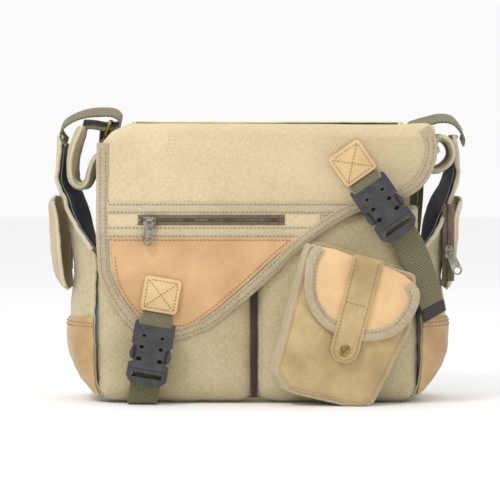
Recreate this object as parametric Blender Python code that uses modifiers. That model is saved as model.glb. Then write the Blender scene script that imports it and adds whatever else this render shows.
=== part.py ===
"""A canvas and leather messenger bag, modelled panel by panel.

Lengths in the tables below are millimetres in the bag's layout: +X to the wearer's right when
the flap faces the viewer, +Y to the back, +Z up, with the ground at Z 0. at() turns them into
metres and moves the layout so that the origin is the bottom centre of the bounding box.
"""

import math

import bmesh
import bpy
from mathutils import Matrix, Vector

# ---------------------------------------------------------------- driving dimensions (mm)
MM = 0.001
BOX_CENTRE = Vector((0.0, -8.2, 0.0))    # the bounding box's middle, in the layout
GAP = 0.4                                # clearance between pieces that rest on each other

HALF_WIDTH = 153.0        # main compartment, outside
BACK_Y = 62.0             # outside of the back wall
FRONT_Y = -42.0           # outside of the main compartment's front wall
WALL = 4.0                # padded canvas wall
BASE = 3.0                # base panel
BACK_TOP = 272.0
FRONT_TOP = 258.0
SIDE_TOP = 238.0

POCKET_Y = -59.0          # outer face of the two front pockets
POCKET_SKIN = 2.5
FLAP_Y = -65.0            # middle of the hanging flap's cloth
FLAP_CLOTH = 3.0
FLAP_TOP = 281.0          # middle of the cloth on top
HINGE_Y = 60.0            # the flap is sewn to the back wall here
FOLD_Y = -62.0            # the flap folds over the front edge here

WEBBING = 30.0            # closure webbing
STRAP = 38.0              # shoulder strap webbing
STRAP_Y = 17.0            # the middle of the shoulder strap's anchors

# The hanging flap's lower edge as (x, z), left to right.
FLAP_EDGE = [
    (-160, 132), (-157, 118), (-150, 102), (-139, 88), (-124, 75), (-105, 67.5), (-88, 65.5),
    (-72, 68), (-57, 74), (-38, 86), (-14, 106), (14, 132), (42, 157), (70, 180), (92, 194),
    (108, 200), (128, 203), (145, 208), (158, 214), (168, 224), (174, 237), (176, 250),
]
# The fold line over the front edge: the left corner droops where nothing fills it.
FLAP_CREST = [(-160, 254), (-148, 265), (-134, 277), (-122, FLAP_TOP), (0, FLAP_TOP), (148, FLAP_TOP), (176, 278)]
LID_STEP_Y = -8.0         # behind this the flap's top is narrower, to clear the strap's rings

MATERIALS = {
    "canvas": ((0.62, 0.54, 0.38), 0.9, 0.0),
    "leather": ((0.74, 0.52, 0.30), 0.6, 0.0),
    "binding": ((0.58, 0.51, 0.40), 0.9, 0.0),
    "webbing": ((0.24, 0.22, 0.12), 0.85, 0.0),
    "lining": ((0.20, 0.21, 0.25), 0.7, 0.0),
    "plastic": ((0.035, 0.035, 0.04), 0.4, 0.0),
    "brass": ((0.60, 0.50, 0.24), 0.35, 1.0),
    "nickel": ((0.70, 0.69, 0.62), 0.25, 1.0),
    "zip": ((0.22, 0.19, 0.14), 0.8, 0.0),
    "foam": ((0.10, 0.10, 0.11), 0.9, 0.0),
    "tip": ((0.05, 0.03, 0.02), 0.7, 0.0),
}


# ---------------------------------------------------------------- helpers
def clear_scene():
    for obj in list(bpy.data.objects):
        bpy.data.objects.remove(obj, do_unlink=True)


def new_collection(name):
    made = bpy.data.collections.new(name)
    bpy.context.scene.collection.children.link(made)
    return made


def at(x, y, z):
    """A layout point as metres in the part's frame."""
    return (Vector((x, y, z)) - BOX_CENTRE) * MM


def material(name):
    found = bpy.data.materials.get(name)
    if found:
        return found
    colour, roughness, metallic = MATERIALS[name]
    made = bpy.data.materials.new(name)
    made.use_nodes = True
    shader = made.node_tree.nodes["Principled BSDF"]
    shader.inputs["Base Color"].default_value = (*colour, 1)
    shader.inputs["Roughness"].default_value = roughness
    shader.inputs["Metallic"].default_value = metallic
    return made


def add(name, mesh, finish):
    obj = bpy.data.objects.new(name, mesh)
    obj.data.materials.append(material(finish))
    PARTS.objects.link(obj)
    return obj


def block(name, low, high, finish, bevel=0.0):
    """A box between two layout corners, with its edges rounded by bevel."""
    size = Vector(high) - Vector(low)
    middle = (Vector(high) + Vector(low)) / 2
    shape = bmesh.new()
    bmesh.ops.create_cube(shape, size=MM)
    bmesh.ops.scale(shape, vec=size, verts=shape.verts)
    mesh = bpy.data.meshes.new(name)
    shape.to_mesh(mesh)
    shape.free()
    obj = add(name, mesh, finish)
    obj.location = at(*middle)
    if bevel:
        rounding = obj.modifiers.new("Bevel", "BEVEL")
        rounding.width = bevel * MM
        rounding.segments = 2
    return obj


def sheet(name, rows, thickness, finish):
    """An open surface through a grid of layout points, made solid by Solidify."""
    across = len(rows[0])
    points = [at(*point) for row in rows for point in row]
    faces = [
        (r * across + c, r * across + c + 1, (r + 1) * across + c + 1, (r + 1) * across + c)
        for r in range(len(rows) - 1)
        for c in range(across - 1)
    ]
    mesh = bpy.data.meshes.new(name)
    mesh.from_pydata(points, [], faces)
    obj = add(name, mesh, finish)
    solid = obj.modifiers.new("Solidify", "SOLIDIFY")
    solid.thickness = thickness * MM
    solid.offset = 0
    solid.use_even_offset = True
    return obj


def ribbon(name, stations, width, thickness, finish):
    """A strap through (point, width direction) stations."""
    rows = []
    for point, direction in stations:
        half = Vector(direction).normalized() * width / 2
        rows.append([Vector(point) - half, Vector(point) + half])
    return sheet(name, rows, thickness, finish)


def profile_strip(name, path, y_low, y_high, thickness, finish):
    """A strip whose (x, z) path is seen from the front, and whose width lies along Y."""
    rows = [[(x, y_low, z), (x, y_high, z)] for x, z in path]
    return sheet(name, rows, thickness, finish)


def smooth_path(points, steps):
    """A Catmull-Rom curve through points of any dimension, with steps spans between each two."""
    ends = [points[0], *points, points[-1]]
    out = []
    for a, b, c, d in zip(ends, ends[1:], ends[2:], ends[3:]):
        for k in range(steps):
            t = k / steps
            out.append(tuple(
                0.5 * (2 * q + (r - p) * t + (2 * p - 5 * q + 4 * r - s) * t * t
                       + (3 * q - p - 3 * r + s) * t ** 3)
                for p, q, r, s in zip(a, b, c, d)
            ))
    return [*out, tuple(points[-1])]


def rounded(corners, steps=4):
    """An outline whose (x, z, radius) corners are replaced by arcs."""
    out = []
    count = len(corners)
    for i, (x, z, radius) in enumerate(corners):
        here = Vector((x, z))
        back = (Vector(corners[i - 1][:2]) - here).normalized()
        ahead = (Vector(corners[(i + 1) % count][:2]) - here).normalized()
        angle = back.angle(ahead)
        if radius == 0 or angle > math.pi - 0.01:
            out.append(here)
            continue
        reach = radius / math.tan(angle / 2)
        centre = here + (back + ahead).normalized() * radius / math.sin(angle / 2)
        first = here + back * reach - centre
        turn = first.angle_signed(here + ahead * reach - centre)
        for k in range(steps + 1):
            out.append(centre + Matrix.Rotation(-turn * k / steps, 2) @ first)
    return out


def outline_mesh(outline, thickness):
    """A flat outline in local XZ, extruded by thickness along Y about Y 0, as a closed mesh."""
    curve = bpy.data.curves.new("outline", "CURVE")
    curve.dimensions = "2D"
    curve.fill_mode = "BOTH"
    curve.extrude = thickness * MM / 2
    spline = curve.splines.new("POLY")
    spline.points.add(len(outline) - 1)
    for point, (x, z) in zip(spline.points, outline):
        point.co = (x * MM, z * MM, 0, 1)
    spline.use_cyclic_u = True
    holder = bpy.data.objects.new("outline", curve)
    bpy.context.scene.collection.objects.link(holder)
    graph = bpy.context.evaluated_depsgraph_get()
    mesh = bpy.data.meshes.new_from_object(holder.evaluated_get(graph))
    bpy.data.objects.remove(holder)
    shape = bmesh.new()
    shape.from_mesh(mesh)
    bmesh.ops.remove_doubles(shape, verts=shape.verts, dist=1e-6)
    bmesh.ops.rotate(shape, verts=shape.verts, cent=(0, 0, 0), matrix=Matrix.Rotation(math.pi / 2, 3, "X"))
    bmesh.ops.recalc_face_normals(shape, faces=shape.faces)
    shape.to_mesh(mesh)
    shape.free()
    return mesh


def plate(name, outline, y_front, y_back, finish):
    """A flat piece that faces the front, between two Y planes of the layout."""
    obj = add(name, outline_mesh(outline, y_back - y_front), finish)
    obj.location = at(0, (y_front + y_back) / 2, 0)
    return obj


def boolean(obj, mesh, operation, location):
    """Cuts mesh from obj, or joins it on. The other shape stays hidden in the cutters."""
    other = bpy.data.objects.new(obj.name + "_" + operation.lower(), mesh)
    other.matrix_world = location
    CUTTERS.objects.link(other)
    other.hide_render = True
    other.display_type = "WIRE"
    step = obj.modifiers.new(operation.title(), "BOOLEAN")
    step.operation = operation
    step.object = other
    return obj


def box_mesh(size):
    shape = bmesh.new()
    bmesh.ops.create_cube(shape, size=MM)
    bmesh.ops.scale(shape, vec=size, verts=shape.verts)
    mesh = bpy.data.meshes.new("box")
    shape.to_mesh(mesh)
    shape.free()
    return mesh


def cylinder_mesh(radius, length, sides, rounding=0.0):
    """A cylinder along Y."""
    shape = bmesh.new()
    bmesh.ops.create_cone(
        shape, cap_ends=True, segments=sides, radius1=radius * MM, radius2=(radius - rounding) * MM,
        depth=length * MM, matrix=Matrix.Rotation(math.pi / 2, 4, "X"),
    )
    mesh = bpy.data.meshes.new("cylinder")
    shape.to_mesh(mesh)
    shape.free()
    return mesh


def carve(obj, low, high):
    """Cuts the box between two layout corners out of obj."""
    size = Vector(high) - Vector(low)
    middle = (Vector(high) + Vector(low)) / 2
    return boolean(obj, box_mesh(size), "DIFFERENCE", Matrix.Translation(at(*middle)))


def tube(name, points, radius, finish, closed=False):
    """A round bar through layout points."""
    curve = bpy.data.curves.new(name, "CURVE")
    curve.dimensions = "3D"
    curve.bevel_depth = radius * MM
    curve.bevel_resolution = 2
    curve.use_fill_caps = True
    spline = curve.splines.new("POLY")
    spline.points.add(len(points) - 1)
    for point, place in zip(spline.points, points):
        point.co = (*at(*place), 1)
    spline.use_cyclic_u = closed
    return add(name, curve, finish)


def pivot(name, x, y, z):
    """An empty on a joint's axis, which carries the pieces that move with it."""
    empty = bpy.data.objects.new(name, None)
    empty.location = at(x, y, z)
    PARTS.objects.link(empty)
    return empty


def hang(empty, *pieces):
    """Parents pieces to a pivot, leaving them where they are."""
    bpy.context.view_layer.update()
    for piece in pieces:
        piece.parent = empty
        piece.matrix_parent_inverse = empty.matrix_world.inverted()


def along(table, x):
    """The value that a table of (x, value) pairs gives at x, by straight lines between them."""
    for (x0, v0), (x1, v1) in zip(table, table[1:]):
        if x0 <= x <= x1:
            return v0 + (v1 - v0) * (x - x0) / (x1 - x0)
    return table[0][1] if x < table[0][0] else table[-1][1]


# ---------------------------------------------------------------- main compartment
def main_compartment():
    inner = HALF_WIDTH - WALL - GAP
    block("base_panel", (-146, -40, 0), (146, BACK_Y, BASE), "canvas", bevel=1)
    block(
        "base_board", (-inner, FRONT_Y + WALL + GAP, BASE + GAP),
        (inner, BACK_Y - WALL - GAP, BASE + 3), "foam",
    )
    back = rounded([
        (-HALF_WIDTH, BASE + GAP, 6), (HALF_WIDTH, BASE + GAP, 6),
        (HALF_WIDTH, BACK_TOP, 25), (-HALF_WIDTH, BACK_TOP, 25),
    ])
    plate("back_wall", back, BACK_Y - WALL, BACK_Y, "canvas")
    front = rounded([
        (-HALF_WIDTH, BASE + GAP, 6), (HALF_WIDTH, BASE + GAP, 6),
        (HALF_WIDTH, FRONT_TOP, 20), (-HALF_WIDTH, FRONT_TOP, 20),
    ])
    plate("front_wall", front, FRONT_Y, FRONT_Y + WALL, "canvas")
    for name, side in (("left_wall", -1), ("right_wall", 1)):
        edges = sorted((side * HALF_WIDTH, side * (HALF_WIDTH - WALL)))
        block(
            name, (edges[0], FRONT_Y + WALL + GAP, BASE + GAP),
            (edges[1], BACK_Y - WALL - GAP, SIDE_TOP), "canvas", bevel=1,
        )
    low = (-inner, FRONT_Y + WALL + GAP, BASE + 3 + GAP)
    high = (inner, BACK_Y - WALL - GAP, SIDE_TOP - 2)
    lining = block("main_lining", low, high, "lining")
    carve(lining, (low[0] + 1, low[1] + 1, low[2] + 1), (high[0] - 1, high[1] - 1, high[2] + 10))


def folded_ears():
    """The padded tops of the side walls, folded outwards into the side pockets."""
    left = smooth_path([
        (-158, 246), (-166, 243), (-173, 234), (-177.5, 225), (-183, 222.5), (-187.5, 231),
        (-187.5, 246), (-184, 262), (-179, 276),
    ], 2)
    profile_strip("left_ear", left, -22, 44, 7, "canvas")
    right = smooth_path([
        (158, 243), (170, 236.5), (183, 234), (194, 240), (198, 252), (193, 263), (184, 266),
    ], 2)
    profile_strip("right_ear", right, -22, 44, 6, "canvas")


# ---------------------------------------------------------------- side pockets
# Each level of a side pocket's outer wall: (z, [(x, y), ...] from front to back).
SIDE_LEVELS = [
    (6, [(157, -48), (158, -34), (159, 0), (158, 36), (157, 54)]),
    (24, [(162.5, -53), (171, -38), (176, 0), (172, 38), (161, 58)]),
    (50, [(163, -54), (181, -38), (189, 0), (183, 38), (169.5, 58)]),
    (84, [(163, -54), (180, -36), (188, 0), (181, 38), (170, 58)]),
    (120, [(165, -53), (179, -34), (187, 0), (180, 38), (171, 57)]),
    (150, [(171, -47), (180, -30), (188, 0), (182, 36), (172, 56)]),
    (185, [(175, -36), (184, -22), (192, 0), (188, 34), (178, 53)]),
    (215, [(190, -24), (198, -12), (204, 10), (202, 32), (196, 46)]),
    (245, [(207, -8), (211, 4), (212.5, 17), (211, 30), (207, 42)]),
    (268, [(209, -2), (210.5, 8), (211, 17), (210.5, 26), (209, 36)]),
]
LEATHER_TOP = 84          # the leather corner covers the levels up to here


def side_pockets():
    for word, side in (("left", -1), ("right", 1)):
        rows = [[(side * x, y, z) for x, y in level] for z, level in SIDE_LEVELS]
        sheet(word + "_side_panel", rows, 2.5, "canvas")
        lining = [
            [(side * (x - 3.2), y * 0.97, z) for x, y in level]
            for z, level in SIDE_LEVELS if 84 <= z <= 245
        ]
        sheet(word + "_pocket_lining", lining, 1, "lining")
        leather = [
            [(side * (x + 3.2), y * 1.03, z) for x, y in level]
            for z, level in SIDE_LEVELS if 8 < z <= LEATHER_TOP
        ]
        sheet(word + "_corner_leather", leather, 1.6, "leather")
        side_pouch(word, side, 17 if side < 0 else 9)


def side_pouch(word, side, bulge):
    """A zipped pouch on the side pocket's outer wall, unzipped along its front edge."""
    levels = [(112, 0.0), (119, 0.55), (134, 0.9), (160, 1.0), (185, 0.9), (200, 0.5), (206, 0.0)]
    rows = []
    for z, share in levels:
        wall = 191.8 + max(0.0, (z - 150) * 0.11) + max(0.0, (z - 185) * 0.3)
        swell = bulge * share
        rows.append([
            (side * (wall + 0.6 * swell), -27, z), (side * (wall + swell), -18, z),
            (side * (wall + 1.05 * swell), 8, z), (side * (wall + 0.9 * swell), 30, z),
            (side * (wall + 0.1 * swell), 44, z),
        ])
    sheet(word + "_side_pouch", rows, 2.2, "canvas")


def zip_puller(word, x, y, z, lean, facing):
    """A slider and its hanging pull. facing is -1 when it faces the front, 1 for the back."""
    body = rounded([(-4.5, -6, 2), (4.5, -6, 2), (4.5, 6, 3), (-4.5, 6, 3)], 2)
    near, far = sorted((y, y + facing * 3.4))
    slider = plate(word + "_slider", [(px + x, pz + z) for px, pz in body], near, far, "nickel")
    tab = rounded([(-4, 0, 2), (4, 0, 2), (5.5, -30, 5.4), (-5.5, -30, 5.4)][::-1], 3)
    tilt = Matrix.Rotation(lean, 2)
    turned = [tilt @ Vector(point) for point in tab]
    near, far = sorted((y + facing * 4.2, y + facing * 5.8))
    pull = plate(word + "_pull", [(p[0] + x, p[1] + z + 2) for p in turned], near, far, "nickel")
    low = tilt @ Vector((0, -25))
    eye = at(x + low[0], (near + far) / 2, z + 2 + low[1])
    boolean(pull, cylinder_mesh(2.8, 8, 12), "DIFFERENCE", Matrix.Translation(eye))
    hang(pivot(word + "_slide", x, y, z), slider)
    hang(pivot(word + "_swing", x, (near + far) / 2, z + 2), pull)


# ---------------------------------------------------------------- front pockets
def front_pockets():
    top = 196.0
    for name, low, high in (("front_pocket_left", -158, -6.5), ("front_pocket_right", -2.5, 154)):
        corner = 16 if low < -100 else 3
        other = 12 if high > 100 else 3
        flare_low = low - 3 if low < -100 else low
        flare_high = high + 3 if high > 100 else high
        shape = rounded([(low, 4, corner), (high, 4, other), (flare_high, top, 0), (flare_low, top, 0)])
        pocket = plate(name, shape, POCKET_Y, FRONT_Y - GAP, "canvas")
        carve(
            pocket, (low + 2.5, POCKET_Y + POCKET_SKIN, 16), (high - 2.5, FRONT_Y - GAP - 2.5, top + 10),
        )
    block("front_zip", (-6.1, -57, 8), (-2.9, -52, 150), "zip")


def accessory_pouch():
    """The small tilted pouch on the right front pocket, open at its top."""
    back = POCKET_Y - GAP
    outer = rounded([
        (54, 158, 5), (22, 36, 12), (33, 19, 12), (104, 1, 7), (113, 8, 6), (146, 78, 8), (152, 128, 5),
    ])
    body = plate("accessory_pouch", outer, back - 27, back, "leather")
    inner = [(59, 180), (26.5, 37), (36, 23), (104, 5.5), (110, 11), (141.5, 79), (147.5, 150)]
    middle = Matrix.Translation(at(0, back - 13.5, 0))
    boolean(body, outline_mesh([Vector(p) for p in inner], 23), "DIFFERENCE", middle)
    front = back - 27
    flap = rounded([
        (56, 160, 4), (49, 132, 10), (52, 102, 14), (76, 77, 30), (108, 67.5, 30), (142, 77, 24), (158, 104, 12),
        (153, 125, 8), (142, 132.5, 8),
    ])
    cover = plate("pouch_flap", flap, front - GAP - 2, front - GAP, "leather")
    edge_out = smooth_path([
        (51, 142), (49, 122), (54, 101), (70, 81), (92, 70), (112, 68.5), (133, 73), (148, 86), (156.5, 104),
    ], 2)
    middle = Vector((103, 118))
    strip = []
    for x, z in edge_out:
        inward = (middle - Vector((x, z))).normalized() * 9
        y = front - GAP * 2 - 2.7
        strip.append([(x, y, z), (x + inward[0], y, z + inward[1])])
    binding = sheet("pouch_flap_binding", strip, 1, "binding")
    strap_front = front - 7
    strap = rounded([(95, 151, 2), (72, 50, 13.5), (100, 43.5, 13.5), (123, 142.5, 2)])
    tongue = plate("pouch_strap", strap, strap_front, strap_front + 2.4, "leather")
    cap = add("snap_cap", cylinder_mesh(7.5, 2.6, 20, -1.2), "brass")
    cap.location = at(87, strap_front - GAP - 1.3, 58)
    post = add("snap_post", cylinder_mesh(4, 2.8, 16), "brass")
    post.location = at(87, front - GAP - 1.4, 58)
    axis = pivot("pouch_flap_hinge", 100, front - 1, 146)
    hang(axis, cover, binding, tongue, cap)


# ---------------------------------------------------------------- flap
def flap():
    """The flap's flat top and its hanging front."""
    rows = []
    for share, back in ((0.0, 3.0), (0.02, 0.0), (0.5, 0.0), (1.0, 0.0)):
        row = []
        for x, bottom in FLAP_EDGE:
            top = along(FLAP_CREST, x) - 1.0
            row.append((x, FLAP_Y + back, top + (bottom - top) * share))
        rows.append(row)
    drop = sheet("flap_front", rows, FLAP_CLOTH, "canvas")
    wide = [[(x, y, z) for x, z in FLAP_CREST] for y in (FOLD_Y + 2.8, LID_STEP_Y - 1.5)]
    lid = sheet("flap_top", wide, FLAP_CLOTH, "canvas")
    depth = HINGE_Y - LID_STEP_Y + 3
    middle = Matrix.Translation(at(10, (HINGE_Y + LID_STEP_Y - 3) / 2, FLAP_TOP))
    boolean(lid, box_mesh((276, depth, FLAP_CLOTH)), "UNION", middle)
    return lid, drop


def flap_trim():
    face = FLAP_Y - FLAP_CLOTH / 2 - GAP
    leather = rounded([
        (-147, 166, 3), (-147, 134, 20), (-131, 97, 30), (-103, 75, 20), (-78, 74, 20), (-58, 84, 20), (40, 166, 3),
    ])
    panel = plate("flap_leather", leather, face - 1.5, face, "leather")
    inset = 9.5
    edge = [(-159, 250), (-159, 180), *FLAP_EDGE[:-1], (175, 250), (175, 270)]
    strip = []
    for i, (x, z) in enumerate(edge):
        before, after = edge[max(i - 1, 0)], edge[min(i + 1, len(edge) - 1)]
        run = (Vector(after) - Vector(before)).normalized()
        inward = Vector((-run[1], run[0])) * inset
        strip.append([(x, face - 2.4, z), (x + inward[0], face - 2.4, z + inward[1])])
    binding = sheet("flap_binding", strip, 1, "binding")
    tape = block("zip_tape", (-120, face - 1, 179), (27, face, 192), "zip")
    teeth = block("zip_teeth", (-118, face - 2.4, 183.5), (25, face - 1 - GAP, 187.5), "zip")
    return panel, binding, tape, teeth


# ---------------------------------------------------------------- side-release buckles
BUCKLE_Y = -79.0
BUCKLES = {"left": (-107.0, 53.0, math.radians(10)), "right": (125.0, 197.5, math.radians(-35))}


def in_buckle(outline, side):
    """A buckle outline, drawn upright about 0, turned and moved to its place on the bag."""
    x, z, tilt = BUCKLES[side]
    turn = Matrix.Rotation(-tilt, 2)
    return [turn @ Vector(point) + Vector((x, z)) for point in outline]


def both_sides(half):
    """A symmetric outline from its right half, bottom to top."""
    return [*half, *[(-x, z, r) for x, z, r in reversed(half)]]


def socket(side):
    """The half with six holes, which hangs on the flap. Its back is open, so it lifts off."""
    half = [
        (20.5, -17, 1), (20.5, -8, 1), (16.5, -3, 3), (16.5, 7, 3), (20, 12, 2), (21.5, 20, 4), (20, 31, 3),
        (16.5, 31, 1), (16.5, 25, 0.5),
    ]
    shape = [(Vector((x, z)), r) for x, z, r in both_sides(half)]
    outline = in_buckle(rounded([(p[0], p[1], r) for p, r in shape], 3), side)
    body = plate(side + "_buckle_socket", outline, BUCKLE_Y - 5, BUCKLE_Y - 2, "plastic")
    for x, z, radius in ((7.5, 14, 1.7), (8.7, 4, 2.2), (10, -7.5, 2.9)):
        for sign in (-1, 1):
            hole = in_buckle([(sign * x, z)], side)[0]
            place = Matrix.Translation(at(hole[0], BUCKLE_Y - 3, hole[1]))
            boolean(body, cylinder_mesh(radius, 10, 12), "DIFFERENCE", place)
    for sign in (-1, 1):
        mid = sign * 18.6
        horn = [(mid - 1.4, 22.3), (mid + 1.4, 22.3), (mid + 1.4, 28.7), (mid - 1.4, 28.7)]
        horn = outline_mesh(in_buckle(horn, side), 8)
        boolean(body, horn, "UNION", Matrix.Translation(at(0, BUCKLE_Y + 0.5, 0)))
    bar = outline_mesh(in_buckle([(-19, 23.5), (19, 23.5), (19, 27.5), (-19, 27.5)], side), 1.8)
    return boolean(body, bar, "UNION", Matrix.Translation(at(0, BUCKLE_Y + 3.4, 0)))


def plug(side):
    """The half with the ladder bar, which runs on the lower webbing."""
    frame = rounded(both_sides([(13, -33.5, 12), (21, -30, 10), (21, -17.6, 1)]), 4)
    body = plate(side + "_buckle_plug", in_buckle(frame, side), BUCKLE_Y - 4.5, BUCKLE_Y + 4, "plastic")
    slot = outline_mesh(in_buckle([(-15.8, -24.5), (15.8, -24.5), (15.8, -20.3), (-15.8, -20.3)], side), 20)
    boolean(body, slot, "DIFFERENCE", Matrix.Translation(at(0, BUCKLE_Y, 0)))
    tongue = outline_mesh(in_buckle([(-4.5, -19.5), (4.5, -19.5), (3.5, 17), (-3.5, 17)], side), 4.5)
    return boolean(body, tongue, "UNION", Matrix.Translation(at(0, BUCKLE_Y + 1, 0)))


def release_arm(side, name, sign):
    arm = [
        (11.5, -16.5, 0.5), (15, -16.5, 0.5), (17, -6, 2), (21, -2, 2), (21.3, 5, 2), (18, 11, 1), (14.5, 11, 1),
        (14, -4, 1),
    ]
    outline = [(sign * x, z, r) for x, z, r in arm]
    outline = rounded(outline if sign > 0 else outline[::-1], 2)
    return plate(name, in_buckle(outline, side), BUCKLE_Y - 1.3, BUCKLE_Y + 3.3, "plastic")


def webbing_and_buckles(drop_axis):
    patch = rounded([(-18, -17.5, 3), (18, -17.5, 3), (18, 17.5, 3), (-18, 17.5, 3)], 3)
    for side, patch_face, centre in (("left", -68.9, 58.0), ("right", -66.9, 53.0)):
        x, z, tilt = BUCKLES[side]
        moved = in_buckle([(px, pz + centre) for px, pz in patch], side)
        leather = plate(side + "_patch", moved, patch_face - 2.2, patch_face, "leather")
        half, end = WEBBING / 2, centre - 18.2
        upper = in_buckle([(-half, 19), (half, 19), (half, end), (-half, end)], side)
        strip = plate(side + "_webbing_upper", upper, BUCKLE_Y + 0.4, BUCKLE_Y + 2.1, "webbing")
        half = socket(side)
        hang(drop_axis, leather, strip, half)
        runner = plug(side)
        x0, z0 = in_buckle([(0, -30)], side)[0]
        hang(pivot(side + "_plug_slide", x0, BUCKLE_Y, z0), runner)
        for word, sign in (("outer", -1), ("inner", 1)):
            arm = release_arm(side, f"{side}_release_{word}", sign)
            root = in_buckle([(sign * 13.2, -16)], side)[0]
            hang(pivot(f"{side}_release_{word}_hinge", root[0], BUCKLE_Y + 1, root[1]), arm)
    left = [
        (-109.5, -72.8, 36), (-113, -72.8, 20), (-116, -71, 9), (-117.5, -67, 2.6), (-118, -60, 1.1),
        (-118, -44, 1.1),
    ]
    stations = [(place, (1, 0, 0.1 if place[2] > 10 else 0)) for place in left]
    ribbon("left_webbing_lower", stations, WEBBING, 1.8, "webbing")
    right = smooth_path([(137, -70.4, 180), (148, -70, 161), (159, -68, 142), (170, -62, 120), (177, -58, 102)], 2)
    stations = []
    for i, point in enumerate(right):
        share = i / (len(right) - 1)
        slope = math.radians(35)
        stations.append((point, (math.cos(slope), 0.12 + 0.6 * share, math.sin(slope) - 0.05 * share)))
    ribbon("right_webbing_lower", stations, WEBBING, 1.8, "webbing")
    run = (Vector(right[-1]) - Vector(right[-2])).normalized()
    ends = [(Vector(right[-1]) + run * d, stations[-1][1]) for d in (1.0, 10.0)]
    ribbon("right_webbing_tip", ends, WEBBING + 1, 2.6, "tip")


# ---------------------------------------------------------------- shoulder strap
def ring_points(x, top, lean, long, short):
    """A rectangular ring whose long bars lie along Y, its upper bar at (x, top)."""
    corner = 3.0
    out = []
    flat = rounded([
        (-long / 2, -short, corner), (long / 2, -short, corner), (long / 2, 0, corner), (-long / 2, 0, corner),
    ], 3)
    for across, down in flat:
        out.append((x + lean * down, STRAP_Y + across, top + down))
    return out


def turned(width, side, stations):
    """The webbing's width direction on one side, kept pointing the way of the station before."""
    x, y, z = width
    width = Vector((side * x, y, z))
    if stations and width.dot(Vector(stations[-1][1])) < 0:
        width = -width
    return tuple(width)


def shoulder_strap():
    low, high = STRAP_Y - STRAP / 2, STRAP_Y + STRAP / 2
    left = smooth_path([
        (-209, 270.5), (-206, 280), (-194, 287), (-176, 291), (-156, 292.5), (-145, 290.5), (-140.5, 285),
        (-145, 279.3), (-155, 278), (-168, 281), (-180, 283),
    ], 2)
    profile_strip("left_strap_loop", left, low, high, 2.2, "webbing")
    right = smooth_path([
        (209, 270.5), (207, 280), (199, 285.5), (186, 287), (174, 285), (163, 283), (156, 279.5), (155.5, 274),
        (161, 270.5), (168, 272.5), (175, 276.5),
    ], 2)
    profile_strip("right_strap_loop", right, low, high, 2.2, "webbing")
    ring = tube("left_ring", ring_points(-150.5, 283.7, 0.33, 44, 17), 1.6, "brass", closed=True)
    hang(pivot("left_ring_hinge", -150.5, STRAP_Y, 283.7), ring)
    ring = tube("right_ring", ring_points(161.5, 276.6, -0.1, 44, 17), 1.6, "brass", closed=True)
    hang(pivot("right_ring_hinge", 161.5, STRAP_Y, 276.6), ring)
    half = [
        ((0, 17, 263.5), (0, 1, 0)), ((0, 21, 258.5), (-0.25, 1, -0.1)), ((-2, 30, 257.5), (-0.75, 0.7, -0.3)),
        ((-4, 42, 263), (-1, 0.2, -0.25)), ((-4, 54, 275.5), (-1, 0, -0.1)), ((-3, 61, 277.5), (-1, 0, 0)),
        ((-2, 66.5, 274), (-1, 0, 0)), ((-2, 68, 262), (-1, 0, 0)), ((-4, 67.5, 230), (-1, 0, 0.08)),
        ((-8, 67, 190), (-1, 0, 0.12)), ((-14, 67, 150), (-1, 0, 0.25)), ((-28, 67.5, 110), (-1, 0, 0.5)),
        ((-50, 68, 76), (-0.8, 0, 0.75)), ((-78, 68, 54), (-0.5, 0, 1)), ((-110, 68, 44), (-0.15, 0, 1)),
    ]
    stations = []
    for side, ring_x, ring_drop, order in ((-1, -156.2, 0, half), (1, 163, -10, half[::-1])):
        for (x, y, z), width in order:
            in_front = z > 236 and y < 50
            drop = ring_drop * max(0.0, 1 - (276 - z) / 40) if in_front else 0.0
            stations.append(((side * x + ring_x, y, z + drop), turned(width, side, stations)))
    ribbon("shoulder_strap", stations, STRAP, 2, "webbing")
    block("shoulder_pad", (-62, 70.5, 14), (66, 80, 74), "canvas", bevel=3)


# ---------------------------------------------------------------- build
clear_scene()
PARTS = new_collection("messenger_bag")
CUTTERS = new_collection("cutters")
CUTTERS.hide_render = True

main_compartment()
folded_ears()
side_pockets()
front_pockets()
accessory_pouch()
lid, drop = flap()
trim = flap_trim()
hang(pivot("flap_hinge", 0, HINGE_Y, FLAP_TOP), lid)
fold = pivot("flap_fold", 0, FOLD_Y, FLAP_TOP)
hang(fold, drop, *trim)
webbing_and_buckles(fold)
zip_puller("flap_zip", -108, -70.9 + 1.1, 184, math.radians(-5), -1)
zip_puller("right_zip", 193, -35, 152, math.radians(22), -1)
zip_puller("left_zip", -199, 50, 175, 0.0, 1)
shoulder_strap()
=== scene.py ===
"""The looks of the messenger bag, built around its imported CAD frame.

Lengths are millimetres in the bag's layout: +X to the right when the flap faces the viewer, +Y to
the back, +Z up, the ground at Z 0. at() turns a layout point into metres in the frame.
"""

import math

import bmesh
import bpy
import numpy as np
from mathutils import Matrix, Vector, noise


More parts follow.
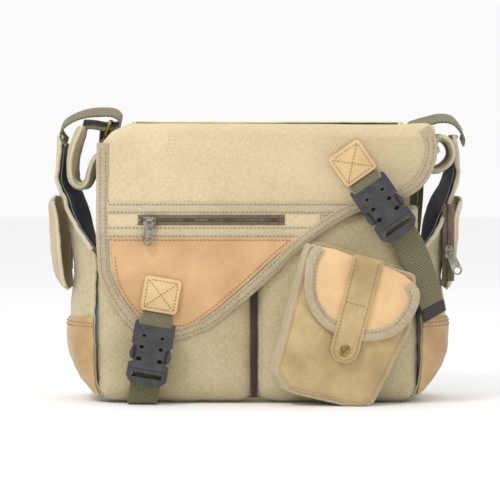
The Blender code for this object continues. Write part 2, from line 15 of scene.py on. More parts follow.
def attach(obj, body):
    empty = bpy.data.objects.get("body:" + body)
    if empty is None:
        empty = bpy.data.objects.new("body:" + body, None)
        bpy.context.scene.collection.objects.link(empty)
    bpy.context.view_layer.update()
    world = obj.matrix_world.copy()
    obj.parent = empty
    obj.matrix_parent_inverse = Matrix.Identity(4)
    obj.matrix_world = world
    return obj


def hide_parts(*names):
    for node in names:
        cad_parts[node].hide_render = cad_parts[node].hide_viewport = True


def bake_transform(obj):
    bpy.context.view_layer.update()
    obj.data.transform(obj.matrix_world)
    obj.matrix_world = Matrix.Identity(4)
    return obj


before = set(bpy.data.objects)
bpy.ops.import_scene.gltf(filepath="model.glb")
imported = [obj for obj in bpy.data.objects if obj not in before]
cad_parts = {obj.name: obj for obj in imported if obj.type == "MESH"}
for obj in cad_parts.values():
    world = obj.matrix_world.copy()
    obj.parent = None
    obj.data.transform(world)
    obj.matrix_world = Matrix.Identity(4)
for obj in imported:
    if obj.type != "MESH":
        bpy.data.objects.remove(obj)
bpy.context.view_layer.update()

# ---------------------------------------------------------------- driving dimensions (mm)
MM = 0.001
DEPTH_SHIFT = 8.2         # the layout's Y 0 is this far in front of the frame's
HINGE_Y = 60.0
LID_FRONT = -50.0         # where the flap's flat top ends and its front fold begins
FOLD_RADIUS = 14.0
FLAP_Y = -64.0
WEBBING = 30.0
STRAP = 38.0
STRAP_Y = 17.0
POCKET_Y = -59.0
BINDING = 10.0

# The flap's outline, as (x, z): its front fold line, then its lower edge from left to right.
CREST = [(-159, 258), (-154, 265), (-147, 273), (-139, 277), (-130, 281.5), (-60, 281.5), (60, 281),
         (130, 280), (168, 282), (177, 279)]
EDGE = [(-159, 140), (-157, 128), (-150, 112), (-141, 97), (-128, 80), (-114, 70), (-100, 66), (-80, 66.5),
        (-60, 73), (-45, 80), (-14, 105), (16, 132), (42, 157), (75, 181), (97, 193), (127, 203),
        (145, 208), (158, 215), (167, 224), (173, 235), (177, 248)]
LEATHER_EDGE = [(-146, 148), (-143, 126), (-137, 112), (-130, 101), (-119, 88), (-104, 79), (-86, 76),
                (-70, 78), (-56, 86), (-40, 98), (-12, 122), (16, 148), (38, 166)]
LEATHER_TOP = 167.0
ZIP_X = (-120, 27)
ZIP_Z = (179.5, 190.5)
BAND_TOP = 202.5
FRONT = (0, -1, 0)        # the way out of the bag's face


# ---------------------------------------------------------------- numbers and points
def at(x, y, z):
    return Vector((x, y + DEPTH_SHIFT, z)) * MM


def table_value(table, x):
    """The value at x of a table of (x, value) pairs, with straight runs between them."""
    xs = [p[0] for p in table]
    ys = [p[1] for p in table]
    return float(np.interp(x, xs, ys))


def ease(low, high, value):
    t = min(max((value - low) / (high - low), 0.0), 1.0)
    return t * t * (3 - 2 * t)


def curve_points(points, count):
    """count points spread evenly along a Catmull-Rom curve through points."""
    p = np.array(points, float)
    ends = np.vstack([2 * p[0] - p[1], p, 2 * p[-1] - p[-2]])
    dense = []
    for a, b, c, d in zip(ends, ends[1:], ends[2:], ends[3:]):
        for t in np.linspace(0, 1, 24, endpoint=False):
            dense.append(0.5 * (2 * b + (c - a) * t + (2 * a - 5 * b + 4 * c - d) * t * t
                                + (3 * b - a - 3 * c + d) * t ** 3))
    dense = np.array([*dense, p[-1]])
    reach = np.concatenate([[0], np.cumsum(np.linalg.norm(np.diff(dense, axis=0), axis=1))])
    wanted = np.linspace(0, reach[-1], count)
    return np.column_stack([np.interp(wanted, reach, dense[:, k]) for k in range(dense.shape[1])])


def smooth_grid(rows, down, across):
    """A grid of layout points, resampled along smooth curves both ways."""
    wide = np.array([curve_points(row, across) for row in rows])
    return np.stack([curve_points(wide[:, c], down) for c in range(across)], axis=1)


def rounded(corners, steps=5):
    """An outline whose (x, z, radius) corners are replaced by arcs."""
    out = []
    for i, (x, z, radius) in enumerate(corners):
        here = Vector((x, z))
        back = (Vector(corners[i - 1][:2]) - here).normalized()
        ahead = (Vector(corners[(i + 1) % len(corners)][:2]) - here).normalized()
        angle = back.angle(ahead)
        if radius == 0 or angle > math.pi - 0.01:
            out.append(here)
            continue
        reach = radius / math.tan(angle / 2)
        centre = here + (back + ahead).normalized() * radius / math.sin(angle / 2)
        first = here + back * reach - centre
        turn = first.angle_signed(here + ahead * reach - centre)
        for k in range(steps + 1):
            out.append(centre + Matrix.Rotation(-turn * k / steps, 2) @ first)
    return out


def rumple(grid, depth, size, seed, pucker=0.0, pucker_reach=14.0):
    """Soft hollows of that depth and size, and short puckers where the cloth is sewn at its edges."""
    grid = np.array(grid, float)
    du = np.gradient(grid, axis=1)
    dv = np.gradient(grid, axis=0)
    normal = np.cross(du, dv)
    normal /= np.maximum(np.linalg.norm(normal, axis=2, keepdims=True), 1e-9)
    down, across = grid.shape[:2]
    for r in range(down):
        for c in range(across):
            place = Vector(grid[r, c]) / size + Vector((seed * 7.3, seed * 3.1, 0))
            lift = depth * noise.fractal(place, 0.9, 2.1, 3)
            if pucker:
                gap = min(
                    np.linalg.norm(grid[r, c] - grid[0, c]), np.linalg.norm(grid[r, c] - grid[-1, c]),
                    np.linalg.norm(grid[r, c] - grid[r, 0]), np.linalg.norm(grid[r, c] - grid[r, -1]),
                )
                near = math.exp(-(gap / pucker_reach) ** 2)
                fine = Vector(grid[r, c]) / 9.0 + Vector((seed, 0, 5))
                lift += pucker * near * noise.noise(fine) * 2
            grid[r, c] = grid[r, c] + normal[r, c] * lift
    return grid


# ---------------------------------------------------------------- shading
def new_material(name, colour, roughness, metallic=0.0):
    made = bpy.data.materials.new("look_" + name)
    made.use_nodes = True
    shader = made.node_tree.nodes["Principled BSDF"]
    shader.inputs["Base Color"].default_value = (*colour, 1)
    shader.inputs["Roughness"].default_value = roughness
    shader.inputs["Metallic"].default_value = metallic
    return made, made.node_tree, shader


def srgb(r, g, b):
    """A colour given as 0..255 screen values, in linear light."""
    return tuple(((c / 255 + 0.055) / 1.055) ** 2.4 if c > 10 else c / 3295 for c in (r, g, b))


def add_noise(tree, source, scale, detail=2.0, stretch=(1, 1, 1)):
    mapping = tree.nodes.new("ShaderNodeMapping")
    mapping.inputs["Scale"].default_value = stretch
    tree.links.new(source, mapping.inputs["Vector"])
    node = tree.nodes.new("ShaderNodeTexNoise")
    node.inputs["Scale"].default_value = scale
    node.inputs["Detail"].default_value = detail
    tree.links.new(mapping.outputs[0], node.inputs["Vector"])
    return node.outputs["Fac"]


def add_bands(tree, source, scale, direction, distortion=0.0):
    node = tree.nodes.new("ShaderNodeTexWave")
    node.wave_type = "BANDS"
    node.bands_direction = direction
    node.inputs["Scale"].default_value = scale
    node.inputs["Distortion"].default_value = distortion
    node.inputs["Detail"].default_value = 1.0
    tree.links.new(source, node.inputs["Vector"])
    return node.outputs["Fac"]


def combine(tree, operation, a, b):
    """A maths node. a and b are sockets or numbers."""
    node = tree.nodes.new("ShaderNodeMath")
    node.operation = operation
    for socket, value in zip(node.inputs, (a, b)):
        if isinstance(value, (int, float)):
            socket.default_value = value
        else:
            tree.links.new(value, socket)
    return node.outputs[0]


def spread(tree, value, low, high):
    """value stretched from low..high to 0..1 and clamped."""
    node = tree.nodes.new("ShaderNodeMapRange")
    node.inputs["From Min"].default_value = low
    node.inputs["From Max"].default_value = high
    tree.links.new(value, node.inputs["Value"])
    return node.outputs[0]


def mix(tree, share, a, b):
    """Colour a to b by share. Each is a socket or a linear colour."""
    node = tree.nodes.new("ShaderNodeMix")
    node.data_type = "RGBA"
    tree.links.new(share, node.inputs["Factor"])
    for socket, value in ((node.inputs[6], a), (node.inputs[7], b)):
        if isinstance(value, tuple):
            socket.default_value = (*value, 1)
        else:
            tree.links.new(value, socket)
    return node.outputs[2]


def add_bump(tree, shader, height, depth_mm, strength=1.0):
    node = tree.nodes.new("ShaderNodeBump")
    node.inputs["Distance"].default_value = depth_mm * MM
    node.inputs["Strength"].default_value = strength
    tree.links.new(height, node.inputs["Height"])
    tree.links.new(node.outputs[0], shader.inputs["Normal"])


def coordinates(tree, kind):
    return tree.nodes.new("ShaderNodeTexCoord").outputs[kind]


def woven(name, light, dark, pitch=1.1, roughness=0.95, sheen=0.25, depth=0.35):
    """Plain-weave cloth: crossed threads and slubs along the piece's UVs, and a washed, uneven tone.
    A piece without UVs, as a remeshed one, shows only the tone."""
    made, tree, shader = new_material(name, light, roughness)
    where = coordinates(tree, "UV")
    body = coordinates(tree, "Object")
    scale = 0.314 / (pitch * MM)
    warp = add_bands(tree, where, scale, "X", 1.2)
    weft = add_bands(tree, where, scale, "Y", 1.2)
    weave = combine(tree, "MULTIPLY", warp, weft)
    slub_a = add_noise(tree, where, 210, 4, (1, 5, 1))
    slub_b = add_noise(tree, where, 210, 4, (5, 1, 1))
    slub = combine(tree, "ADD", slub_a, slub_b)
    wash = add_noise(tree, body, 14, 4)
    tone = combine(tree, "ADD", combine(tree, "MULTIPLY", slub, 0.5), combine(tree, "MULTIPLY", wash, 0.5))
    tone = combine(tree, "ADD", tone, combine(tree, "MULTIPLY", weave, 0.16))
    tone = spread(tree, tone, 0.62, 0.98)
    tree.links.new(mix(tree, tone, dark, light), shader.inputs["Base Color"])
    shader.inputs["Sheen Weight"].default_value = sheen
    shader.inputs["Sheen Roughness"].default_value = 0.6
    height = combine(tree, "ADD", weave, combine(tree, "MULTIPLY", slub, 1.2))
    add_bump(tree, shader, height, depth, 0.8)
    return made


def nubuck(name, light, dark, roughness=0.85):
    """Brushed leather: a fine nap, cloudy rubbed patches and a little grain."""
    made, tree, shader = new_material(name, light, roughness)
    body = coordinates(tree, "Object")
    cloud = add_noise(tree, body, 28, 6)
    nap = add_noise(tree, body, 900, 3)
    tone = combine(tree, "ADD", combine(tree, "MULTIPLY", cloud, 0.8), combine(tree, "MULTIPLY", nap, 0.35))
    tone = spread(tree, tone, 0.38, 0.78)
    tree.links.new(mix(tree, tone, dark, light), shader.inputs["Base Color"])
    shader.inputs["Sheen Weight"].default_value = 0.2
    grain = combine(tree, "ADD", nap, combine(tree, "MULTIPLY", add_noise(tree, body, 350, 2), 0.8))
    add_bump(tree, shader, grain, 0.25, 0.6)
    return made


def webbing_look(name, light, dark):
    """Twill webbing: diagonal ribs and rounded selvedges. Its UVs run in metres along the strap."""
    made, tree, shader = new_material(name, light, 0.9)
    where = coordinates(tree, "UV")
    turn = tree.nodes.new("ShaderNodeMapping")
    turn.inputs["Rotation"].default_value = (0, 0, math.radians(38))
    tree.links.new(where, turn.inputs["Vector"])
    ribs = add_bands(tree, turn.outputs[0], 0.314 / (2.4 * MM), "X", 0.8)
    threads = add_bands(tree, where, 0.314 / (1.0 * MM), "Y", 1.0)
    slub = add_noise(tree, where, 500, 3)
    tone = combine(tree, "ADD", combine(tree, "MULTIPLY", ribs, 0.6), combine(tree, "MULTIPLY", slub, 0.6))
    tone = spread(tree, tone, 0.15, 1.0)
    tree.links.new(mix(tree, tone, dark, light), shader.inputs["Base Color"])
    shader.inputs["Sheen Weight"].default_value = 0.2
    height = combine(tree, "ADD", ribs, combine(tree, "MULTIPLY", threads, 0.4))
    add_bump(tree, shader, height, 0.5, 0.9)
    return made


def metal(name, light, dark, roughness):
    """Worn plated metal with darker, rougher patches."""
    made, tree, shader = new_material(name, light, roughness, 1.0)
    body = coordinates(tree, "Object")
    patch = spread(tree, add_noise(tree, body, 260, 5), 0.35, 0.7)
    tree.links.new(mix(tree, patch, dark, light), shader.inputs["Base Color"])
    rough = combine(tree, "ADD", combine(tree, "MULTIPLY", patch, -0.12), roughness + 0.1)
    tree.links.new(rough, shader.inputs["Roughness"])
    add_bump(tree, shader, add_noise(tree, body, 500, 2), 0.05, 0.4)
    return made


def plastic_look(name, light, dark):
    made, tree, shader = new_material(name, light, 0.42)
    body = coordinates(tree, "Object")
    tone = spread(tree, add_noise(tree, body, 90, 5), 0.35, 0.65)
    tree.links.new(mix(tree, tone, dark, light), shader.inputs["Base Color"])
    add_bump(tree, shader, add_noise(tree, body, 1400, 2), 0.06, 0.5)
    return made


LOOKS = {
    "canvas": woven("canvas", srgb(222, 204, 166), srgb(194, 174, 134)),
    "canvas_band": woven("canvas_band", srgb(212, 196, 162), srgb(184, 166, 132)),
    "canvas_body": woven("canvas_body", srgb(204, 190, 152), srgb(168, 152, 114)),
    "binding": woven("binding", srgb(200, 184, 154), srgb(164, 146, 116), pitch=0.9),
    "piping": woven("piping", srgb(224, 214, 190), srgb(188, 176, 150), pitch=0.9),
    "lining": woven("lining", srgb(132, 138, 152), srgb(88, 92, 108), pitch=0.6, roughness=0.5, depth=0.15),
    "leather": nubuck("leather", srgb(214, 176, 130), srgb(184, 146, 102)),
    "patch": nubuck("patch", srgb(226, 194, 146), srgb(196, 162, 116)),
    "pouch": nubuck("pouch", srgb(198, 174, 128), srgb(156, 132, 90)),
    "pouch_cover": nubuck("pouch_cover", srgb(226, 190, 142), srgb(198, 164, 116)),
    "corner": nubuck("corner", srgb(200, 170, 124), srgb(152, 124, 82)),
    "webbing": webbing_look("webbing", srgb(136, 130, 96), srgb(76, 70, 44)),
    "webbing_low": webbing_look("webbing_low", srgb(124, 120, 80), srgb(70, 66, 38)),
    "tape": woven("tape", srgb(132, 118, 94), srgb(88, 76, 58), pitch=0.7),
    "coil": plastic_look("coil", srgb(112, 102, 84), srgb(64, 56, 46)),
    "plastic": plastic_look("plastic", srgb(60, 59, 63), srgb(42, 41, 45)),
    "brass": metal("brass", srgb(170, 150, 92), srgb(104, 88, 50), 0.3),
    "nickel": metal("nickel", srgb(176, 172, 162), srgb(112, 106, 92), 0.3),
    "tip": nubuck("tip", srgb(58, 44, 34), srgb(34, 25, 18), 0.75),
    "thread": new_material("thread", srgb(150, 118, 84), 0.8)[0],
    # Thread for stitches on canvas: the thread's own colour darkened with painted shade of its stitch holes, so
    # the stitches read as dark dots.
    "thread_and_hole_shade": new_material("thread_and_hole_shade", srgb(142, 126, 98), 0.8)[0],
    "dark": new_material("dark", srgb(40, 36, 34), 0.9)[0],
}


# ---------------------------------------------------------------- meshes
def make_mesh(name, points, faces, uvs=None):
    mesh = bpy.data.meshes.new(name)
    mesh.from_pydata([at(*p) for p in points], [], faces)
    if uvs is not None:
        layer = mesh.uv_layers.new(name="UVMap")
        for loop in mesh.loops:
            layer.data[loop.index].uv = uvs[loop.vertex_index]
    mesh.shade_smooth()
    obj = bpy.data.objects.new(name, mesh)
    bpy.context.scene.collection.objects.link(obj)
    return obj


def grid_object(name, grid, closed=False):
    """A surface through a grid of layout points, with its UVs in metres along both directions.
    closed joins its last column to its first."""
    grid = np.array(grid, float)
    down, across = grid.shape[:2]
    side = np.linalg.norm(np.diff(grid, axis=1), axis=2).mean(axis=0)
    length = np.linalg.norm(np.diff(grid, axis=0), axis=2).mean(axis=1)
    u = np.concatenate([[0], np.cumsum(side)]) * MM
    v = np.concatenate([[0], np.cumsum(length)]) * MM
    spans = across if closed else across - 1
    faces = []
    for r in range(down - 1):
        for c in range(spans):
            here, below, ahead = r * across, (r + 1) * across, (c + 1) % across
            faces.append((here + c, here + ahead, below + ahead, below + c))
    uvs = [(u[c], v[r]) for r in range(down) for c in range(across)]
    return make_mesh(name, grid.reshape(-1, 3), faces, uvs)


def thicken(obj, thickness, offset=0.0):
    """Gives a surface a thickness with rounded edges. offset -1 adds it behind, 1 in front."""
    solid = obj.modifiers.new("Solidify", "SOLIDIFY")
    solid.thickness = thickness * MM
    solid.offset = offset
    bevel = obj.modifiers.new("Bevel", "BEVEL")
    bevel.width = thickness * MM * 0.35
    bevel.segments = 2
    bevel.limit_method = "ANGLE"
    bevel.angle_limit = math.radians(50)
    return obj


def dress(obj, look, body, slot, *nodes):
    """Gives a piece its material, its body and the CAD nodes it stands for. slot, its record slot, is not used.
    """
    obj.data.materials.clear()
    obj.data.materials.append(LOOKS[look])
    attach(obj, body)
    if nodes:
        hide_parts(*nodes)
    return obj


def ribbon_grid(stations, width, across=9):
    """Grid rows for a strap through (point, width direction) stations."""
    points = curve_points([(*p, *d) for p, d in stations], max(12, len(stations) * 10))
    rows = []
    for row in points:
        centre, direction = row[:3], row[3:] / np.linalg.norm(row[3:])
        rows.append([centre + direction * width * s for s in np.linspace(-0.5, 0.5, across)])
    return np.array(rows)


def tube_grid(points, radius, sides=10, closed=False):
    """Grid rows for a round bar along layout points. radius is a number or one for each point."""
    points = np.array(points, float)
    count = len(points)
    radii = np.full(count, radius) if np.isscalar(radius) else np.array(radius)
    ahead = np.roll(points, -1, 0) - np.roll(points, 1, 0) if closed else np.gradient(points, axis=0)
    rows = []
    side = None
    for k in range(count):
        run = ahead[k] / max(np.linalg.norm(ahead[k]), 1e-9)
        if side is None:
            side = np.cross(run, (0, 0, 1) if abs(run[2]) < 0.9 else (0, 1, 0))
        side = side - run * side.dot(run)
        side = side / np.linalg.norm(side)
        up = np.cross(run, side)
        rows.append([
            points[k] + radii[k] * (side * math.cos(a) + up * math.sin(a))
            for a in np.linspace(0, 2 * math.pi, sides, endpoint=False)
        ])
    return np.array(rows)


def tube(name, points, radius, sides=10, closed=False):
    """A round bar with closed ends, or a ring."""
    rows = tube_grid(points, radius, sides, closed)
    if closed:
        rows = np.concatenate([rows, rows[:1]])
        obj = grid_object(name, rows, closed=True)
        weld = obj.modifiers.new("Weld", "WELD")
        weld.merge_threshold = 1e-5
        return obj
    obj = grid_object(name, rows, closed=True)
    shape = bmesh.new()
    shape.from_mesh(obj.data)
    bmesh.ops.holes_fill(shape, edges=[e for e in shape.edges if e.is_boundary])
    shape.to_mesh(obj.data)
    shape.free()
    return obj


def outline_object(name, outline, y_front, y_back, bevel, holes=()):
    """A flat piece facing the front, from an outline and its holes, with rounded edges."""
    curve = bpy.data.curves.new(name, "CURVE")
    curve.dimensions = "2D"
    curve.fill_mode = "BOTH"
    curve.extrude = (y_back - y_front) / 2 * MM
    for ring in (outline, *holes):
        spline = curve.splines.new("POLY")
        spline.points.add(len(ring) - 1)
        for point, (x, z) in zip(spline.points, ring):
            point.co = (x * MM, z * MM, 0, 1)
        spline.use_cyclic_u = True
    holder = bpy.data.objects.new(name, curve)
    bpy.context.scene.collection.objects.link(holder)
    graph = bpy.context.evaluated_depsgraph_get()
    mesh = bpy.data.meshes.new_from_object(holder.evaluated_get(graph))
    bpy.data.objects.remove(holder)
    upright = Matrix.Rotation(math.pi / 2, 4, "X")
    mesh.transform(Matrix.Translation(at(0, (y_front + y_back) / 2, 0)) @ upright)
    shape = bmesh.new()
    shape.from_mesh(mesh)
    bmesh.ops.remove_doubles(shape, verts=shape.verts, dist=1e-6)
    bmesh.ops.recalc_face_normals(shape, faces=shape.faces)
    bmesh.ops.dissolve_limit(shape, angle_limit=0.01, verts=shape.verts, edges=shape.edges)
    shape.to_mesh(mesh)
    shape.free()
    layer = mesh.uv_layers.new(name="UVMap")
    for loop in mesh.loops:
        place = mesh.vertices[loop.vertex_index].co
        layer.data[loop.index].uv = (place.x, place.z)
    mesh.shade_smooth()
    obj = bpy.data.objects.new(name, mesh)
    bpy.context.scene.collection.objects.link(obj)
    rounding = obj.modifiers.new("Bevel", "BEVEL")
    rounding.width = bevel * MM
    rounding.segments = 3
    rounding.limit_method = "ANGLE"
    rounding.angle_limit = math.radians(40)
    rounding.harden_normals = True
    return obj


def stitches(name, runs, look, body, length=2.6, gap=1.3, radius=0.42):
    """Sewn thread along (points, outward normal) runs: one small capsule for each stitch."""
    shape_points, shape_faces = [], []
    sides = 5
    for points, normal in runs:
        points = np.array(points, float)
        reach = np.concatenate([[0], np.cumsum(np.linalg.norm(np.diff(points, axis=0), axis=1))])
        count = max(1, int(reach[-1] / (length + gap)))
        for k in range(count):
            span = np.linspace(k * (length + gap), k * (length + gap) + length, 4)
            line = np.column_stack([np.interp(span, reach, points[:, axis]) for axis in range(3)])
            lift = np.array([-0.15, 0.3, 0.3, -0.15])[:, None] * np.array(normal, float)
            rows = tube_grid(line + lift, [radius * 0.5, radius, radius, radius * 0.5], sides)
            first = len(shape_points)
            shape_points.extend(rows.reshape(-1, 3))
            for r in range(3):
                for c in range(sides):
                    shape_faces.append((
                        first + r * sides + c, first + r * sides + (c + 1) % sides,
                        first + (r + 1) * sides + (c + 1) % sides, first + (r + 1) * sides + c,
                    ))
            shape_faces.append(tuple(first + c for c in range(sides))[::-1])
            shape_faces.append(tuple(first + 3 * sides + c for c in range(sides)))
    obj = make_mesh(name, shape_points, shape_faces)
    obj.data.materials.append(LOOKS[look])
    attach(obj, body)
    return obj


# ---------------------------------------------------------------- the flap
def flap_crest(x):
    return table_value(CREST, x)


def flap_edge(x):
    return table_value(EDGE, x)


def flap_front_y(x, z):
    """Where the hanging flap's outer face is: a slight belly with soft folds."""
    drop = max(0.0, flap_crest(x) - z)
    belly = 2.2 * math.sin(math.pi * min(drop / 230, 1.0))
    broad = noise.noise(Vector((x / 75, z / 60, 3.0)))
    fine = noise.noise(Vector((x / 24, z / 20, 9.0)))
    soft = 1.5 * broad + 0.5 * fine
    uneven = 0.5 + 0.5 * noise.noise(Vector((x / 60, 1, 2)))
    crease = 1.1 * math.exp(-((drop - 44 - 0.05 * x) / 9) ** 2) * uneven
    return FLAP_Y - belly - soft * ease(6, 40, drop) + crease


def flap_point(x, share):
    """A point of the flap's cloth: share 0 at the hinge, 0.4 where the fold begins, 0.55 where it
    ends, 1 at the lower edge."""
    crest = flap_crest(x)
    if share <= 0.4:
        y = HINGE_Y + (LID_FRONT - HINGE_Y) * share / 0.4
        narrow = ease(-22, -6, y)
        held = min(max(x, -128), 148)
        wide = x + (held - x) * narrow
        sag = 1.4 * math.sin(math.pi * (wide + 160) / 336) * math.sin(math.pi * share / 0.4)
        return (wide, y, crest + (281 - crest) * narrow - sag)
    if share <= 0.55:
        angle = (share - 0.4) / 0.15 * math.pi / 2
        z = crest - FOLD_RADIUS * (1 - math.cos(angle))
        start, end = LID_FRONT, flap_front_y(x, crest - FOLD_RADIUS)
        return (x, start + (end - start) * math.sin(angle), z)
    top = crest - FOLD_RADIUS
    z = top + (flap_edge(x) - top) * (share - 0.55) / 0.45
    return (x, flap_front_y(x, z), z)


def on_flap(points, lift):
    """(x, z) points set on the hanging flap's face, lifted off it towards the viewer."""
    return [(x, flap_front_y(x, z) - lift, z) for x, z in points]


def spaced(points, count):
    return [tuple(p) for p in curve_points(points, count)]


def leftward(path):
    """Unit directions to the left of a path of (x, z) points."""
    run = np.gradient(path, axis=0)
    run /= np.linalg.norm(run, axis=1, keepdims=True)
    return np.column_stack([-run[:, 1], run[:, 0]])


def inset_path(path, distance):
    """A path of (x, z) points moved sideways, to the left of its run."""
    p = np.array(path, float)
    return p + leftward(p) * distance


def edge_rows(path, inward, profile, face):
    """Grid rows along a path on a face: profile lists (inward distance, y off the face)."""
    rows = []
    for (x, z), n in zip(path, inward):
        y = face(x, z)
        rows.append([(x + n[0] * d, y + off, z + n[1] * d) for d, off in profile])
    return rows


def flap_cloth():
    xs = np.concatenate([np.linspace(*span) for span in ((-159, -120, 26), (-117, 140, 80), (143, 177, 22))])
    spans = ((0.03, 0.4, 26), (0.415, 0.55, 12), (0.56, 1, 76))
    shares = np.concatenate([np.linspace(*span) for span in spans])
    grid = np.array([[flap_point(x, s) for x in xs] for s in shares])
    cloth = grid_object("flap_cloth", grid)
    thicken(cloth, 2.6, 1)
    cloth.data.materials.append(LOOKS["canvas"])
    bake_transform(cloth)
    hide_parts("flap_top", "flap_front")
    join_rows = [[(x, y, z) for x in np.linspace(-127, 147, 60)]
                 for y, z in ((62.6, 255), (62.8, 266), (62.4, 276), (60.5, 281.5), (56, 283), (50, 283))]
    joiner = grid_object("flap_back_seam", rumple(smooth_grid(join_rows, 24, 60), 0.4, 30, 4))
    thicken(joiner, 1.6)
    joiner.data.materials.append(LOOKS["canvas"])
    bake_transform(joiner)


def swept_band(name, path, profile, look, body, slot, *nodes, thickness=1.3):
    """A band along an (x, z) path on the flap. profile lists (inward distance, y off the flap's face)."""
    path = np.array(path, float)
    rows = edge_rows(path, leftward(path), profile, flap_front_y)
    strip = grid_object(name, rumple(rows, 0.35, 9, 2))
    thicken(strip, thickness, 0)
    return dress(strip, look, body, slot, *nodes)


def flap_border():
    """The flap's whole bound edge, from the top left corner round to the top right."""
    left = [(-159.5, 262), (-160, 240), (-160, 210), (-160, 175)]
    return [*left, *EDGE, (177.5, 262), (173.5, 273), (170, 279)]


def flap_trim():
    path = curve_points(flap_border(), 330)
    profile = [(BINDING, -0.9), (BINDING - 1, -1.7), (5, -1.9), (1, -1.7), (-0.9, -0.4), (-1.1, 1.6),
               (0, 3.6), (4, 4.2), (BINDING, 3.4)]
    swept_band("flap_edge_binding", path, profile, "binding", "flap_drop", "binding", "flap_binding")
    inner = inset_path(path, BINDING - 2.2)
    outer = inset_path(path, 2.2)
    runs = [(on_flap(line[3:-3], 2.6), FRONT) for line in (inner, outer)]
    stitches("flap_binding_stitches", runs, "thread_and_hole_shade", "flap_drop", length=2.4, gap=1.5, radius=0.36)
    xs = np.linspace(LEATHER_EDGE[0][0], LEATHER_EDGE[-1][0], 90)
    rows = []
    for share in np.linspace(0, 1, 34):
        row = []
        for x in xs:
            low = table_value(LEATHER_EDGE, x)
            z = LEATHER_TOP + (low - LEATHER_TOP) * share
            row.append((x, flap_front_y(x, z) - 1.1, z))
        rows.append(row)
    panel = thicken(grid_object("flap_leather_panel", rows), 1.3)
    dress(panel, "leather", "flap_drop", "leather", "flap_leather")
    upper = on_flap([(x, LEATHER_TOP - 2) for x in np.linspace(-144, 34, 60)], 2.0)
    lower = on_flap(inset_path(curve_points(LEATHER_EDGE, 120), 3.0), 2.0)
    stitches("flap_leather_stitches", [(upper, FRONT), (lower, FRONT)], "thread", "flap_drop")


def diagonal_x(z):
    """Where the flap's slanting edge is at height z."""
    slant = [(edge_z, x) for x, edge_z in EDGE if x >= -80]
    return table_value(slant, z)


def band(name, high, low):
    """A folded strip of canvas sewn across the flap, from its left binding to its slanting one."""
    rows = []
    levels = ((high + 0.3, 0.5), (high - 0.4, 1.3), ((high + low) / 2, 1.5), (low + 0.4, 1.3), (low - 0.3, 0.5))
    for z, lift in levels:
        right = diagonal_x(z) - 8
        rows.append([(x, flap_front_y(x, z) - lift, z) for x in np.linspace(-151.5, right, 110)])
    dress(thicken(grid_object(name, rumple(rows, 0.25, 14, 8)), 0.9), "canvas_band", "flap_drop", "canvas")


def flap_zip():
    """A zipped slit between two turned welts, with a coil; its slider and pull come from zip_hardware."""
    middle = sum(ZIP_Z) / 2
    xs = np.linspace(*ZIP_X, 70)

    def strip(name, levels, look, slot, *nodes, thickness=1.0):
        grid = [[(x, flap_front_y(x, z) - lift, z) for x in xs] for z, lift in levels]
        return dress(thicken(grid_object(name, grid), thickness), look, "flap_drop", slot, *nodes)

    strip("zip_tape_upper", [(ZIP_Z[1], 0.5), (middle + 1.4, 0.8)], "tape", "zip", "zip_tape")
    strip("zip_tape_lower", [(middle - 1.4, 0.8), (ZIP_Z[0], 0.5)], "tape", "zip")
    band("zip_band_upper", BAND_TOP, ZIP_Z[1] + 0.2)
    band("zip_band_lower", ZIP_Z[0] - 0.2, LEATHER_TOP - 0.4)
    for word, low, high in (("left", -151.5, ZIP_X[0]), ("right", ZIP_X[1], 62)):
        patch = [[(x, flap_front_y(x, z) - 0.8, z) for x in np.linspace(low, high, 14)]
                 for z in np.linspace(ZIP_Z[1] + 0.5, ZIP_Z[0] - 0.5, 6)]
        dress(thicken(grid_object("zip_end_" + word, patch), 1.0), "canvas", "flap_drop", "canvas")
    reach = np.linspace(ZIP_X[0] + 2, ZIP_X[1] - 1, 420)
    teeth = [1.5 + 0.45 * math.sin(2 * math.pi * x / 1.7) for x in reach]
    line = [(x, flap_front_y(x, middle) - 0.9, middle) for x in reach]
    dress(tube("zip_coil", line, teeth, 8), "coil", "flap_drop", "zip", "zip_teeth")
    runs = []
    for z in (BAND_TOP - 1.8, ZIP_Z[1] + 2.2, ZIP_Z[0] - 2.2, LEATHER_TOP + 1.8):
        ends = (-149, diagonal_x(z) - 12)
        runs.append((on_flap([(x, z) for x in np.linspace(*ends, 90)], 2.0), FRONT))
    stitches("zip_stitches", runs, "thread_and_hole_shade", "flap_drop", radius=0.4)


# ---------------------------------------------------------------- zip sliders and pulls
def zip_hardware(word, x, y, z, lean, facing, level=False):
    """A slider and its pull, with the lean and place of the CAD's."""
    sign = facing
    near, far = sorted((y, y + sign * 3.4))
    shape = rounded([
        (-4.2, -6.5, 1.5), (4.2, -6.5, 1.5), (4.6, 2, 2), (3.2, 6.5, 2), (-3.2, 6.5, 2), (-4.6, 2, 2),
    ], 4)
    if level:
        shape = [Vector((p[1], -p[0])) for p in shape]
    slider = outline_object(word + "_slider_body", [(p[0] + x, p[1] + z) for p in shape], near, far, 0.9)
    dress(slider, "nickel", word + "_slider", "nickel", word + "_slider")
    arch = [(-4, 3.2), (-3.2, 5.4), (0, 6.6), (3, 5.6), (4.4, 3.2)]
    path = [(x + a, y + sign * b, z + 1) if level else (x, y + sign * b, z + a) for a, b in arch]
    bridge = tube(word + "_slider_bridge", curve_points(path, 16), 1.2, 10)
    dress(bridge, "nickel", word + "_slider", "nickel")
    turn = Matrix.Rotation(lean, 2)
    tab = rounded([
        (-3.4, 1, 2), (3.4, 1, 2), (4.6, -14, 3), (5.4, -27, 5.2), (-5.4, -27, 5.2), (-4.6, -14, 3),
    ], 5)
    eye = circle(0, -22.5, 3.0, 3.0, 20)
    slot = rounded([(-1.9, -4.5, 1), (1.9, -4.5, 1), (1.9, -1, 1), (-1.9, -1, 1)], 3)

    def place(ring):
        return [tuple(turn @ Vector(p) + Vector((x, z + 2))) for p in ring]

    near, far = sorted((y + sign * 4.4, y + sign * 6.0))
    pull = outline_object(word + "_pull_tab", place(tab), near, far, 0.35, [place(eye), place(slot)])
    dress(pull, "nickel", word + "_pull", "nickel", word + "_pull")


